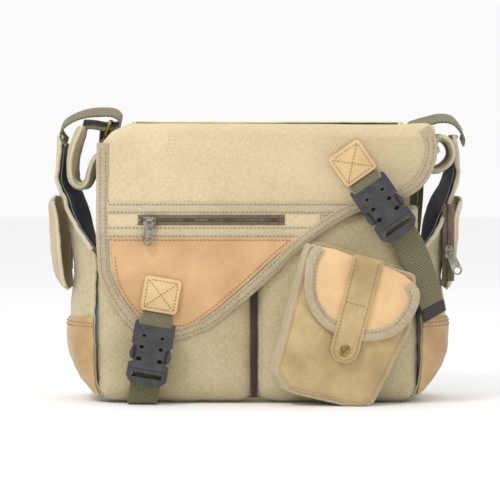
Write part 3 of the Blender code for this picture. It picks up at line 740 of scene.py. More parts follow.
# ---------------------------------------------------------------- buckles and closure webbing
BUCKLE_Y = -79.0
BUCKLES = {"left": (-107.0, 53.0, math.radians(10)), "right": (125.0, 197.5, math.radians(-35))}


def in_buckle(outline, side):
    """A buckle outline, drawn upright about 0, turned and moved to its place on the bag."""
    x, z, tilt = BUCKLES[side]
    turn = Matrix.Rotation(-tilt, 2)
    return [tuple(turn @ Vector(point) + Vector((x, z))) for point in outline]


def both_sides(half):
    return [*half, *[(-x, z, r) for x, z, r in reversed(half)]]


def circle(x, z, radius_x, radius_z, count=18):
    return [
        (x + radius_x * math.cos(a), z + radius_z * math.sin(a))
        for a in np.linspace(0, 2 * math.pi, count, endpoint=False)
    ]


SOCKET_HALF = [
    (20.3, -17, 0.8), (20.3, -11.5, 1.5), (14.2, -9, 2), (14.2, 4.5, 2), (20.3, 7.5, 2), (20.5, 20, 4),
    (20.2, 31, 2.5), (16.8, 31.5, 1.2), (15.8, 26.8, 1),
]
SOCKET_HOLES = ((9.2, 16.3, 1.8, 1.3), (9.7, 5, 2.2, 1.7), (10.6, -7, 2.8, 2.1))
PLUG_HALF = [(7, -33, 7), (15.5, -31.5, 6), (20.4, -26, 5), (20.4, -17.4, 0.8)]
ARM = [
    (11.6, -16.5, 0.5), (15, -16.5, 1), (15.6, -9, 1), (19.4, -8, 2.4), (21.2, -2.2, 4), (19.4, 3.6, 2.4),
    (16, 9, 1), (13.6, 9, 1), (13.4, -4, 1),
]
ARM_PAD = [(16.7, -7.4, 1.2), (19.6, -7.2, 2), (21.2, -2.2, 4), (19.6, 3, 2), (16.7, 3.2, 1.2)]


def buckle_socket(side):
    outline = in_buckle(rounded(both_sides(SOCKET_HALF), 4), side)
    holes = [
        in_buckle(circle(sign * x, z, wide, tall), side)
        for x, z, wide, tall in SOCKET_HOLES
        for sign in (-1, 1)
    ]
    shell = outline_object(side + "_socket_shell", outline, BUCKLE_Y - 5.6, BUCKLE_Y - 2, 0.9, holes)
    dress(shell, "plastic", "flap_drop", "plastic", side + "_buckle_socket")
    ends = in_buckle([(-18, 25), (18, 25)], side)
    bar = tube(side + "_socket_bar", [(x, BUCKLE_Y - 0.5, z) for x, z in ends], 1.9, 12)
    dress(bar, "plastic", "flap_drop", "plastic")
    # A dark sheet behind the socket's holes: painted shade for the hollow inside of the buckle.
    backing = in_buckle([(-13.4, -16), (13.4, -16), (13.4, 20), (-13.4, 20)], side)
    shade = outline_object(side + "_socket_painted_shade", backing, BUCKLE_Y - 2.1, BUCKLE_Y - 1.6, 0.1)
    dress(shade, "dark", "flap_drop", "plastic")


def buckle_plug(side):
    slot = rounded([(-15.8, -25.2, 1), (15.8, -25.2, 1), (15.8, -20.8, 1), (-15.8, -20.8, 1)], 3)
    outline = in_buckle(rounded(both_sides(PLUG_HALF), 5), side)
    plug = outline_object(side + "_plug_frame", outline, BUCKLE_Y - 5.4, BUCKLE_Y + 3.6, 1.2,
                          [in_buckle(slot, side)])
    dress(plug, "plastic", side + "_plug", "plastic", side + "_buckle_plug")
    outline = rounded([(-4.6, -19, 1), (4.6, -19, 1), (3.4, 16, 1.5), (-3.4, 16, 1.5)], 3)
    tongue = outline_object(side + "_plug_tongue", in_buckle(outline, side), BUCKLE_Y - 1.2, BUCKLE_Y + 3.2, 0.6)
    dress(tongue, "plastic", side + "_plug", "plastic")


def arm_ring(corners, sign, side):
    """An arm's outline on the right of the buckle, or its mirror image on the left."""
    ring = [(sign * x, z, r) for x, z, r in corners]
    return in_buckle(rounded(ring if sign > 0 else ring[::-1], 3), side)


def release_arms(side):
    for word, sign in (("outer", -1), ("inner", 1)):
        body = f"{side}_release_{word}"
        ring = arm_ring(ARM, sign, side)
        piece = outline_object(f"{side}_arm_{word}", ring, BUCKLE_Y - 1.3, BUCKLE_Y + 3.2, 0.6)
        dress(piece, "plastic", body, "plastic", body)
        ring = arm_ring(ARM_PAD, sign, side)
        piece = outline_object(f"{side}_arm_pad_{word}", ring, BUCKLE_Y - 5.0, BUCKLE_Y - 1.4, 0.9)
        dress(piece, "plastic", body, "plastic")


def buckle_pieces(side):
    """A side-release buckle: a socket with six holes, a plug with a ladder bar, two release arms."""
    buckle_socket(side)
    buckle_plug(side)
    release_arms(side)


def closure_webbing(side, low, high, y_low, y_high):
    """The webbing from a patch down to its buckle, drawn upright in the buckle's frame."""
    half = WEBBING / 2
    rows = []
    for z in np.linspace(high, low, 16):
        y = y_low + (y_high - y_low) * ease(0.0, 0.75, (z - low) / (high - low))
        row = []
        for x in np.linspace(-half, half, 10):
            place = in_buckle([(x, z)], side)[0]
            row.append((place[0], y - 0.3 * (1 - (x / half) ** 4), place[1]))
        rows.append(row)
    strap = thicken(grid_object(side + "_closure_webbing", rows), 1.7)
    dress(strap, "webbing", "flap_drop", "webbing", side + "_webbing_upper")


PATCHES = {"left": 58.0, "right": 54.0}


def patches():
    for side, centre in PATCHES.items():
        ring = rounded([(-18.5, -17.5, 4), (18.5, -17.5, 4), (18.5, 17.5, 4), (-18.5, 17.5, 4)], 4)
        outline = in_buckle([(p[0], p[1] + centre) for p in ring], side)
        middle = in_buckle([(0, centre)], side)[0]
        y = flap_front_y(*middle)
        patch = outline_object(side + "_leather_patch", outline, y - 5.6, y - 3.8, 0.5)
        dress(patch, "patch", "flap_drop", "leather", side + "_patch")
        reach = 15.0

        def line(points):
            raised = in_buckle([(a, b + centre) for a, b in points], side)
            return [(p[0], y - 5.7, p[1]) for p in spaced(raised, 24)]

        box = [(-reach, -reach + 1), (reach, -reach + 1), (reach, reach - 1), (-reach, reach - 1)]
        sides_of_box = [line([a, b]) for a, b in zip(box, box[1:] + box[:1])]
        cross = [line([box[0], box[2]]), line([box[1], box[3]])]
        runs = [(run, FRONT) for run in (*sides_of_box, *cross)]
        stitches(side + "_patch_stitches", runs, "thread", "flap_drop", length=2.2, gap=1.2, radius=0.4)
        closure_webbing(side, 19.5, centre - 10, BUCKLE_Y + 0.6, y - 2.2)


def lower_webbing():
    left = [((-109.5, -73.5, 37), (1, 0, -0.17)), ((-112, -74, 25), (1, 0, -0.15)),
            ((-114.5, -72.5, 11), (1, 0, -0.1)), ((-115.5, -69, 4), (1, 0, -0.05)),
            ((-116, -62, 1.6), (1, 0, 0)), ((-116, -46, 1.4), (1, 0, 0))]
    strap = thicken(grid_object("left_lower_strap", ribbon_grid(left, WEBBING)), 1.8)
    dress(strap, "webbing_low", "bag", "webbing", "left_webbing_lower")
    tilt = math.radians(35)
    right = [((139, -71.5, 180), (math.cos(tilt), 0.1, math.sin(tilt))),
             ((149, -71, 163), (0.83, 0.15, 0.54)),
             ((157, -69, 148), (0.86, 0.25, 0.48)), ((165, -66, 128), (0.86, 0.42, 0.38)),
             ((172, -62.5, 108), (0.80, 0.55, 0.34)), ((175.5, -60, 96), (0.74, 0.6, 0.36))]
    grid = ribbon_grid(right, WEBBING)
    strap = thicken(grid_object("right_lower_strap", rumple(grid, 0.5, 25, 6)), 1.8)
    dress(strap, "webbing", "bag", "webbing", "right_webbing_lower")
    tip = [((174.3, -60.8, 100), (0.77, 0.57, 0.35)), ((177.5, -58.6, 88), (0.72, 0.62, 0.36))]
    end = thicken(grid_object("right_strap_tip", ribbon_grid(tip, WEBBING + 1.5)), 3.4)
    dress(end, "tip", "bag", "tip", "right_webbing_tip")


# ---------------------------------------------------------------- main compartment and front pockets
def pillow(name, outline_at, y_face, y_rim, swell, seed, down=60, across=60, depth=0.9):
    """A sewn panel facing the front: outline_at(share) gives its left and right x and z there."""
    rows = []
    for share in np.linspace(0, 1, down):
        left, right, z = outline_at(share)
        row = []
        for side in np.linspace(-1, 1, across):
            reach = math.sin(side * math.pi / 2)
            x = (left + right) / 2 + (right - left) / 2 * reach
            rim_x = 1 - abs(reach) ** 14
            rim_z = 1 - (2 * abs(share - 0.5)) ** 18
            hold = min(rim_x, rim_z)
            crown = (1 - side * side) * math.sin(math.pi * min(max(share, 0.02), 0.98))
            row.append((x, y_rim + (y_face - y_rim) * hold - swell * crown, z))
        rows.append(row)
    return grid_object(name, rumple(rows, depth, 42, seed, 0.5))


def rounded_ends(low, high, bottom, top, radius):
    """The left and right x of a panel with round bottom corners, for shares from top to bottom."""
    def outline_at(share):
        z = top + (bottom - top) * share
        inset = 0.0
        if z < bottom + radius:
            reach = radius - (z - bottom)
            inset = radius - math.sqrt(max(radius ** 2 - reach ** 2, 0))
        return low + inset, high - inset, z
    return outline_at


def front_pockets():
    for name, low, high, radius, seed in (("left", -161, -5.2, 17, 11), ("right", -2.6, 159, 15, 12)):
        outline_at = rounded_ends(low, high, 3.5, 197, radius)
        panel = pillow(name + "_pocket_face", outline_at, POCKET_Y - 1.0, -44, 1.6, seed)
        thicken(panel, 2.0, -1)
        dress(panel, "canvas_body", "bag", "canvas", "front_pocket_" + name)
        edge = -8.6 if low < -100 else 0.8
        line = [(edge, POCKET_Y - 2.9, z) for z in np.linspace(12, 150, 60)]
        stitches(name + "_pocket_stitches", [(line, FRONT)], "thread_and_hole_shade", "bag", radius=0.36)
    across = ((-7, 0), (-4.6, 1.2), (-3.8, 1.2), (-1, 0))
    rows = [[(x, -55.5 - lift, z) for x, lift in across] for z in np.linspace(196, 6, 40)]
    zipper = thicken(grid_object("front_gap_tape", rows), 1)
    dress(zipper, "tip", "bag", "zip", "front_zip")


def body_walls():
    def back_outline(share):
        z = 272 + (3.5 - 272) * share
        inset = 0.0
        if z < 20:
            inset = 17 - math.sqrt(max(17 ** 2 - (20.5 - z) ** 2, 0))
        if z > 250:
            inset = 22 - math.sqrt(max(22 ** 2 - (z - 250) ** 2, 0))
        return -166 + inset, 166 - inset, z

    back = pillow("back_panel_cloth", back_outline, 60.5, 46, -1.6, 21)
    thicken(back, 2.0, 1)
    dress(back, "canvas_body", "bag", "canvas", "back_wall")
    runs = []
    for inset in (6, 10):
        for side, ends in ((-1, (250, 22)), (1, (22, 250))):
            line = [(side * (163 - inset), 64.4, z) for z in np.linspace(*ends, 60)]
            runs.append((line, (0, 1, 0)))
    runs.append(([(x, 65.4, 11) for x in np.linspace(-150, 150, 120)], (0, 1, 0)))
    stitches("back_stitches", runs, "thread_and_hole_shade", "bag", radius=0.4)
    levels = [(-44, 4), (-40, 1.0), (-30, 0.2), (0, 0.1), (40, 0.2), (54, 0.8), (61, 2), (63.4, 6), (63.6, 13)]
    lifts = [(x, 2.5 if abs(x) > 150 else 0.6) for x in np.linspace(-157, 157, 40)]
    rows = [[(x, y, z + lift) for x, lift in lifts] for y, z in levels]
    base = thicken(grid_object("base_cloth", smooth_grid(rows, 24, 40)), 1.2)
    dress(base, "canvas_body", "bag", "canvas")
    for node, look in (("front_wall", "canvas_body"), ("left_wall", "lining"), ("right_wall", "lining"),
                       ("main_lining", "lining"), ("base_board", "dark"), ("base_panel", "canvas_body")):
        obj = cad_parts[node]
        obj.data.materials.clear()
        obj.data.materials.append(LOOKS[look])
    lip = [(x, -41.5, 259.5) for x in np.linspace(-134, 134, 60)]
    dress(tube("front_wall_binding", lip, 2.6, 10), "binding", "bag", "binding")


# ---------------------------------------------------------------- side pockets
# Each level of a side pocket's outer wall: z, then (x, y) from its front edge to its back edge.
SIDE_LEVELS = [
    (7, [(157, -48), (159, -34), (163, 0), (159, 36), (157, 52)]),
    (18, [(161, -51), (168, -40), (171, 0), (169, 38), (161, 57)]),
    (33, [(163, -54), (178, -42), (183, 0), (178, 38), (165, 60)]),
    (50, [(164, -55), (184, -40), (190, 0), (184, 38), (168, 60)]),
    (70, [(164, -55), (186, -38), (193.5, 0), (186, 38), (169, 60)]),
    (90, [(164, -55), (183, -36), (191.5, 0), (185, 38), (169, 60)]),
    (115, [(163, -54), (178, -34), (188, 0), (183, 38), (169, 59)]),
    (135, [(162, -53), (179, -32), (187.5, 0), (184, 38), (169, 58)]),
    (151, [(164, -50), (181, -28), (189, 0), (186, 36), (170, 57)]),
    (165, [(176, -42), (184, -22), (191, 2), (189, 35), (173, 56)]),
    (185, [(187, -30), (189, -14), (193, 6), (191, 34), (177, 54)]),
    (205, [(197, -16), (198, -6), (200, 10), (197, 32), (184, 50)]),
    (225, [(204, -6), (205, 2), (206.5, 14), (204, 30), (194, 45)]),
    (248, [(203, 0), (205, 6), (206, 16), (204.5, 28), (200, 40)]),
    (268, [(200.5, 2), (203, 9), (203.5, 17), (203, 26), (199, 35)]),
]
LEATHER_TOP_EDGE = 84.0


def side_grid(side, low, high, outset, down=70, across=44):
    """The side pocket's wall between two heights, moved outwards by outset."""
    rows = [[(x, y, z) for x, y in level] for z, level in SIDE_LEVELS]
    dense = smooth_grid(rows, 140, across)
    heights = dense[:, :, 2]
    wanted = np.linspace(high, low, down)
    out = np.zeros((down, across, 3))
    for c in range(across):
        for k in range(3):
            out[:, c, k] = np.interp(wanted, heights[:, c], dense[:, c, k])
    normal = np.cross(np.gradient(out, axis=1), np.gradient(out, axis=0))
    normal /= np.linalg.norm(normal, axis=2, keepdims=True)
    if normal[down // 2, across // 2, 0] < 0:
        normal = -normal
    out = out + normal * outset
    out[:, :, 0] *= side
    return out


def side_pockets():
    for word, side, seed in (("left", -1, 31), ("right", 1, 32)):
        wall = side_grid(side, 7, 268, 0)
        wall = rumple(wall, 2.2, 34, seed, 0.6)
        cloth = thicken(grid_object(word + "_side_cloth", wall), 2.2, 0)
        dress(cloth, "canvas_body", "bag", "canvas", word + "_side_panel")
        inner = side_grid(side, 60, 262, -4.2)
        lining = thicken(grid_object(word + "_side_lining", rumple(inner, 2.2, 34, seed)), 0.8)
        dress(lining, "lining", "bag", "lining", word + "_pocket_lining")
        top = [wall[r, 0] for r in range(len(wall) - 1, -1, -1) if wall[r, 0, 2] > 152] + list(wall[0, ::3])
        dress(tube(word + "_side_piping", curve_points(top, 120), 2.3, 10), "piping", "bag", "binding")
        leather = side_grid(side, 9, LEATHER_TOP_EDGE, 2.6, 40, 44)
        lift = np.linspace(-1, 1, 44)
        leather[0, :, 2] += 3.5 * lift ** 2
        shell = thicken(grid_object(word + "_corner_cover", rumple(leather, 2.2, 34, seed)), 1.4)
        dress(shell, "corner", "bag", "leather", word + "_corner_leather")
        outward = (side, 0, 0)
        rows = side_grid(side, LEATHER_TOP_EDGE - 12, LEATHER_TOP_EDGE - 2, 3.5, 12, 44)
        rows = rumple(rows, 2.2, 34, seed)
        seam, second = rows[1], rows[5]
        stitches(word + "_corner_stitches", [(seam, outward), (second, outward)], "thread", "bag")
        side_pouch(word, side, 17 if side < 0 else 9, seed)


def side_pouch(word, side, bulge, seed):
    """A zipped pouch on the side pocket, swelling outwards, with its zip open at the front."""
    levels = [(113, 0.05), (119, 0.5), (134, 0.88), (160, 1.0), (185, 0.92), (200, 0.6), (207, 0.1)]
    rows = []
    for z, share in levels:
        wall = 191.5 + max(0.0, (z - 150) * 0.11) + max(0.0, (z - 185) * 0.3)
        swell = bulge * share
        rows.append([
            (side * (wall + 0.55 * swell), -28, z), (side * (wall + 0.95 * swell), -22, z),
            (side * (wall + 1.08 * swell), -8, z), (side * (wall + 1.1 * swell), 10, z),
            (side * (wall + 0.9 * swell), 30, z), (side * (wall + 0.2 * swell), 45, z),
        ])
    grid = rumple(smooth_grid(rows[::-1], 44, 40), 0.9, 22, seed + 7, 0.4)
    shell = thicken(grid_object(word + "_pouch_shell", grid), 2.4)
    dress(shell, "canvas_body", "bag", "canvas", word + "_side_pouch")
    piping = tube(word + "_pouch_piping", curve_points(grid[2:-2, 0], 60), 1.9, 10)
    dress(piping, "piping", "bag", "binding")
    x, y, low, high = (193, -32, 122, 200) if side > 0 else (-199, 50, 130, 200)
    rows = [[(x - 6, y + 1, z), (x + 6, y + 1, z)] for z in np.linspace(high, low, 20)]
    tape = thicken(grid_object(word + "_pouch_tape", rows), 0.9)
    dress(tape, "tape", "bag", "zip")
    reach = np.linspace(low, high, 220)
    line = [(x, y + (-0.4 if side > 0 else 1.8), z) for z in reach]
    coil = tube(word + "_pouch_coil", line, [1.4 + 0.4 * math.sin(2 * math.pi * z / 1.8) for z in reach], 8)
    dress(coil, "coil", "bag", "zip")


# ---------------------------------------------------------------- padded ears
EARS = {
    "left": [(-157, 250), (-162, 249), (-167, 243), (-170.5, 232), (-173, 222), (-179, 217), (-186, 220),
             (-189.5, 230), (-189.5, 244), (-186.5, 258), (-182, 270), (-177.5, 279)],
    "right": [(156, 247), (164, 239.5), (174, 234.5), (185, 235), (194, 241), (198, 251), (195, 262),
              (187, 267.5), (179, 264), (178, 257), (184, 253)],
}
EAR_FRONT, EAR_BACK = -24.0, 44.0


def ear(side, path, thickness, seed):
    """A folded padded flap: a soft band puffed by cloth pressure, with piping along its front edge."""
    line = curve_points(path, 46)
    rows = [[(x, y, z) for y in np.linspace(EAR_FRONT, EAR_BACK, 18)] for x, z in line]
    pad = thicken(grid_object(side + "_ear_pad", rumple(rows, 1.2, 20, seed, 0.6)), thickness, 0)
    pad.modifiers["Bevel"].width = thickness * MM * 0.42
    pad.modifiers["Bevel"].segments = 3
    dress(puffed(pad), "canvas_body", "bag", "canvas", side + "_ear")
    piping = tube(side + "_ear_piping", [(x, EAR_FRONT - 0.8, z) for x, z in line], 1.9, 10)
    dress(piping, "piping", "bag", "binding")
    seam = [(x, EAR_FRONT + 1.5, z) for x, z in curve_points(path, 90)]
    stitches(side + "_ear_stitches", [(seam, FRONT)], "thread_and_hole_shade", "bag", radius=0.35)


def padded_ears():
    ear("left", EARS["left"], 7.5, 41)
    ear("right", EARS["right"], 6.5, 42)


# ---------------------------------------------------------------- accessory pouch
POUCH_BACK = POCKET_Y - 1.6
POUCH_FACE = POUCH_BACK - 25.5
POUCH_OUTLINE = [
    (53, 158, 4), (21, 36, 11), (32, 18, 10), (103, 1, 7), (113, 8, 7), (147, 78, 9), (153, 128, 5),
]
COVER_SIDE = [(57, 160), (50, 146), (47.5, 130), (48, 114), (53, 98), (63, 84), (77, 74), (93, 68.5),
              (110, 67), (127, 69.5), (141, 77), (151, 89), (157.5, 102), (158.5, 114), (153, 124)]
COVER_TOP = [(143, 132), (120, 142), (95, 150), (75, 157)]


def ring_grid(outline, centre, shares, ys, count=150):
    """Rings from an outline, shrunk towards a centre by each share and set at each y."""
    closed = curve_loop(outline, count)
    return np.array([
        [(centre[0] + (x - centre[0]) * share, y, centre[1] + (z - centre[1]) * share) for x, z in closed]
        for share, y in zip(shares, ys)
    ])


def curve_loop(outline, count):
    p = np.array([tuple(q) for q in outline] + [tuple(outline[0])], float)
    reach = np.concatenate([[0], np.cumsum(np.linalg.norm(np.diff(p, axis=0), axis=1))])
    wanted = np.linspace(0, reach[-1], count, endpoint=False)
    return np.column_stack([np.interp(wanted, reach, p[:, k]) for k in range(2)])


def pouch_gusset(outline, centre, depth):
    """The canvas strip between the pouch and the bag, wider on its left, with two rows of stitches."""
    shares = [1.045, 1.06, 1.062, 1.05, 1.02, 0.99]
    ys = [POUCH_BACK, POUCH_BACK - 2, POUCH_BACK - depth * 0.35, POUCH_BACK - depth * 0.62,
          POUCH_BACK - depth * 0.82, POUCH_BACK - depth * 0.9]
    grid = rumple(smooth_grid(ring_grid(outline, centre, shares, ys), 26, 220), 0.5, 16, 53)
    for row, spread_left in zip(grid, np.linspace(6, 0, len(grid))):
        row[:, 0] -= spread_left * np.clip((centre[0] - row[:, 0]) / 30, 0, 1)
        row[:, 2] = np.maximum(row[:, 2], 0.8)
    gusset = grid_object("pouch_gusset", grid, closed=True)
    dress(gusset, "canvas_body", "bag", "leather", "accessory_pouch")
    runs = []
    for share, y in ((1.064, 0.42), (1.06, 0.56)):
        runs.append((ring_grid(outline, centre, [share], [POUCH_BACK - depth * y], 260)[0], FRONT))
    stitches("pouch_gusset_stitches", runs, "thread_and_hole_shade", "bag", radius=0.4)


def pouch_body(outline, centre, depth):
    """The pouch's leather face, with soft slanting wrinkles."""
    shares = [1.0, 1.01, 1.0, 0.975, 0.94, 0.85, 0.6, 0.3, 0.02]
    ys = [POUCH_BACK - depth * 0.7, POUCH_BACK - depth * 0.85,
          *[POUCH_FACE + off for off in (1.6, 0, -0.8, -1.8, -2.8, -3.2, -3.3)]]
    grid = np.array(ring_grid(outline, centre, shares, ys))
    dense = np.stack([curve_points(grid[:, c], 52) for c in range(grid.shape[1])], axis=1)
    for r in range(dense.shape[0]):
        for c in range(dense.shape[1]):
            x, y, z = dense[r, c]
            fold = noise.fractal(Vector(((x + z) / 16, (x - z) / 46, 3)), 0.9, 2, 3)
            dense[r, c, 1] = y - 1.7 * fold * ease(4, 16, r)
    body = grid_object("accessory_pouch_body", dense, closed=True)
    dress(body, "pouch", "bag", "leather", "accessory_pouch")


def accessory_pouch():
    outline = rounded(POUCH_OUTLINE, 6)
    centre = (88, 76)
    depth = POUCH_BACK - POUCH_FACE
    pouch_gusset(outline, centre, depth)
    pouch_body(outline, centre, depth)
    edges = (
        (1.03, POUCH_FACE + 3.6, "binding", 2.6),
        (1.0, POUCH_FACE + 0.9, "corner", 1.0),
        (1.07, POUCH_BACK - 2.5, "canvas_body", 2.4),
    )
    for share, y, look, radius in edges:
        ring = ring_grid(outline, centre, [share], [y], 220)[0]
        loop = [(x, y, max(z, radius + 0.4)) for x, y, z in ring]
        dress(tube(f"pouch_{look}_edge", loop, radius, 10, closed=True), look, "bag", "leather")
    stud = [(5.2, 0.6), (5.2, -0.6), (4.4, -1.0), (2.6, -0.6), (2.2, -1.6), (1.2, -2.0), (0.05, -2.1)]
    rows = turned_rings(stud, STRAP_END, POUCH_FACE - 3.6)
    dress(grid_object("snap_stud", rows, closed=True), "brass", "bag", "brass", "snap_post")
    pouch_cover()


def turned_rings(profile, place, y):
    """Rings of a turned part facing the front, from (radius, offset) pairs."""
    angles = np.linspace(0, 2 * math.pi, 36, endpoint=False)
    return [
        [(place[0] + r * math.cos(a), y + off, place[1] + r * math.sin(a)) for a in angles]
        for r, off in profile
    ]


def cover_y(x, z):
    """The pouch flap's face: it swells over the pouch, with soft folds."""
    swell = 3.0 * math.exp(-(((x - 100) / 48) ** 2 + ((z - 108) / 40) ** 2))
    fold = noise.fractal(Vector(((x - z) / 20, (x + z) / 44, 4)), 0.9, 2, 2)
    return POUCH_FACE - 4.8 - swell - 0.8 * fold


def pouch_cover():
    side = curve_points(COVER_SIDE, 170)
    top = curve_points([COVER_SIDE[-1], *COVER_TOP, COVER_SIDE[0]], 60)
    loop = np.vstack([side, top[1:-1]])
    centre = np.array((102.0, 112.0))
    rings = []
    for share in np.linspace(0.03, 1, 30):
        ring = centre + (loop - centre) * share
        rings.append([(x, cover_y(x, z), z) for x, z in ring])
    cover = thicken(grid_object("pouch_cover_leather", rings, closed=True), 2.0, 0)
    dress(cover, "pouch_cover", "pouch_cover", "leather", "pouch_flap")
    inward = leftward(side)
    profile = [
        (9.8, -1.2), (9.2, -2.2), (4.5, -2.6), (0.6, -2.2), (-1.0, -0.8), (-1.1, 0.6), (0.6, 1.8), (6, 2.0),
    ]
    rows = edge_rows(side, inward, profile, cover_y)
    strip = thicken(grid_object("pouch_cover_binding", rumple(rows, 0.35, 8, 3)), 1.1)
    dress(strip, "binding", "pouch_cover", "binding", "pouch_flap_binding")
    line = [row[0] for row in edge_rows(side, inward, [(7.4, -3.1)], cover_y)][2:-2]
    stitches("pouch_cover_stitches", [(line, FRONT)], "thread_and_hole_shade", "pouch_cover", radius=0.4)
    pouch_strap()


STRAP_TOP = (109, 147)
STRAP_END = (86, 58)


STRAP_HALF_WIDTH = 14.2


def over_cover(place, lift):
    """A point lifted off the pouch's cover, at the (x, z) place."""
    x, z = place
    return (x, min(cover_y(x, z), POUCH_FACE - 4.5) - lift, z)


def pouch_strap():
    top, end = Vector(STRAP_TOP), Vector(STRAP_END)
    run = (end - top).normalized()
    side = Vector((-run[1], run[0]))
    length = (end - top).length
    seam, arc_radius = 0.8 * STRAP_HALF_WIDTH, 11.2
    rows = []
    for d in np.linspace(-2, length + 13.5, 60):
        half = STRAP_HALF_WIDTH
        if d >= length:
            half = math.sqrt(max(STRAP_HALF_WIDTH ** 2 - (d - length) ** 2, 0.4))
        centre = top + run * d
        rows.append([
            over_cover(centre + side * half * s, 3.4 + 0.4 * (1 - s * s)) for s in np.linspace(-1, 1, 14)
        ])
    strap = thicken(grid_object("pouch_strap_leather", rows), 2.0)
    dress(strap, "pouch", "pouch_cover", "leather", "pouch_strap")
    edges = [
        [over_cover(top + run * d + side * offset, 4.9) for d in np.linspace(2, length + 2, 50)]
        for offset in (-seam, seam)
    ]
    arc = [
        over_cover(end + side * arc_radius * math.cos(a) + run * arc_radius * math.sin(a), 4.9)
        for a in np.linspace(0, math.pi, 30)
    ]
    across = [
        over_cover(top + run * (length * 0.5) + side * offset, 4.9) for offset in np.linspace(-seam, seam, 16)
    ]
    lines = [(line, FRONT) for line in (*edges, arc, across)]
    stitches("pouch_strap_stitches", lines, "thread", "pouch_cover", length=2.2)
    snap(end)


def snap(place):
    """A domed brass press stud with a rolled rim."""
    profile = [
        (8.0, 1.6), (8.2, 0.6), (8.0, -0.4), (7.2, -0.9), (6.4, -0.5), (5.2, -0.9), (3.0, -1.5), (0.05, -1.7),
    ]
    rows = turned_rings(profile, place, POUCH_FACE - 9.2)
    dress(grid_object("snap_dome", rows, closed=True), "brass", "pouch_cover", "brass", "snap_cap")


# ---------------------------------------------------------------- shoulder strap
def strap_loops():
    left = [(-196, 262), (-202, 271), (-199.5, 280), (-190, 287), (-176, 292), (-160, 293.5), (-148, 292.5),
            (-141.5, 288), (-141.5, 282), (-146, 279), (-156, 278.5), (-168, 280.5), (-180, 281)]
    right = [(210, 262), (211, 270), (206, 279), (199, 285.5), (188, 287), (176, 284.5), (164, 281.5),
             (156.5, 278.5), (156, 273.5), (161, 270.5), (168, 271.5), (176, 274)]
    for name, path in (("left", left), ("right", right)):
        stations = [((x, STRAP_Y, z), (0, 1, 0.22)) for x, z in path]
        grid = rumple(ribbon_grid(stations, STRAP), 0.35, 20, 61)
        strap = thicken(grid_object(name + "_strap_webbing", grid), 2.2)
        dress(strap, "webbing", "bag", "webbing", name + "_strap_loop")


def rings():
    for word, x, top, lean in (("left", -150.5, 283.7, 0.33), ("right", 161.5, 276.6, -0.1)):
        flat = rounded([(-22, -17, 4), (22, -17, 4), (22, 0, 4), (-22, 0, 4)], 6)
        points = [(x + lean * p[1], STRAP_Y + p[0], top + p[1]) for p in flat]
        ring = tube(word + "_brass_ring", points, 1.75, 12, closed=True)
        dress(ring, "brass", word + "_ring", "brass", word + "_ring")


STRAP_HALF = [
    ((0, 17, 263.5), (0, 1, 0)), ((0, 21, 258.5), (-0.25, 1, -0.1)), ((-2, 30, 257.5), (-0.75, 0.7, -0.3)),
    ((-4, 42, 263), (-1, 0.2, -0.25)), ((-4, 54, 275.5), (-1, 0, -0.1)), ((-3, 61, 277.5), (-1, 0, 0)),
    ((-2, 66.5, 274), (-1, 0, 0)), ((-2, 68, 262), (-1, 0, 0)), ((-4, 67.5, 230), (-1, 0, 0.08)),
    ((-8, 67, 190), (-1, 0, 0.12)), ((-14, 67, 150), (-1, 0, 0.25)), ((-28, 67.5, 110), (-1, 0, 0.5)),
    ((-50, 68, 76), (-0.8, 0, 0.75)), ((-78, 68, 54), (-0.5, 0, 1)), ((-110, 68, 44), (-0.15, 0, 1)),
]


def strap_stations():
    """The shoulder strap's middle line and width direction, from the left ring to the right one."""
    stations = []
    for side, ring_x, ring_drop, order in ((-1, -156.2, 0, STRAP_HALF), (1, 163, -10, STRAP_HALF[::-1])):
        for (x, y, z), (across_x, across_y, across_z) in order:
            in_front = z > 236 and y < 50
            drop = ring_drop * max(0.0, 1 - (276 - z) / 40) if in_front else 0.0
            across = Vector((side * across_x, across_y, across_z))
            if stations and across.dot(stations[-1][1]) < 0:
                across = -across
            stations.append(((side * x + ring_x, y, z + drop), across))
    return stations


def shoulder_strap():
    stations = strap_stations()
    centres = curve_points([place for place, _ in stations], 240)
    widths = curve_points([tuple(across) for _, across in stations], 240)
    grid = ribbon_grid(list(zip(centres, widths)), STRAP)
    strap = thicken(grid_object("shoulder_strap_webbing", grid), 1.8)
    dress(strap, "webbing", "bag", "webbing", "shoulder_strap")
    pad = puffed(cushion("shoulder_pad_canvas", (-61, 71.5, 15), (65, 79, 73)))
    dress(pad, "canvas_body", "shoulder_pad", "canvas", "shoulder_pad")


def cushion(name, low, high):
    """A flat box with rounded edges."""
    obj = block_mesh(name, low, high)
    rounding = obj.modifiers.new("Bevel", "BEVEL")
    rounding.width = 2.6 * MM
    rounding.segments = 3
    return obj


def block_mesh(name, low, high):
    (x0, y0, z0), (x1, y1, z1) = low, high
    corners = [(x, y, z) for x in (x0, x1) for y in (y0, y1) for z in (z0, z1)]
    faces = [(0, 1, 3, 2), (4, 6, 7, 5), (0, 4, 5, 1), (2, 3, 7, 6), (0, 2, 6, 4), (1, 5, 7, 3)]
    return make_mesh(name, corners, faces)


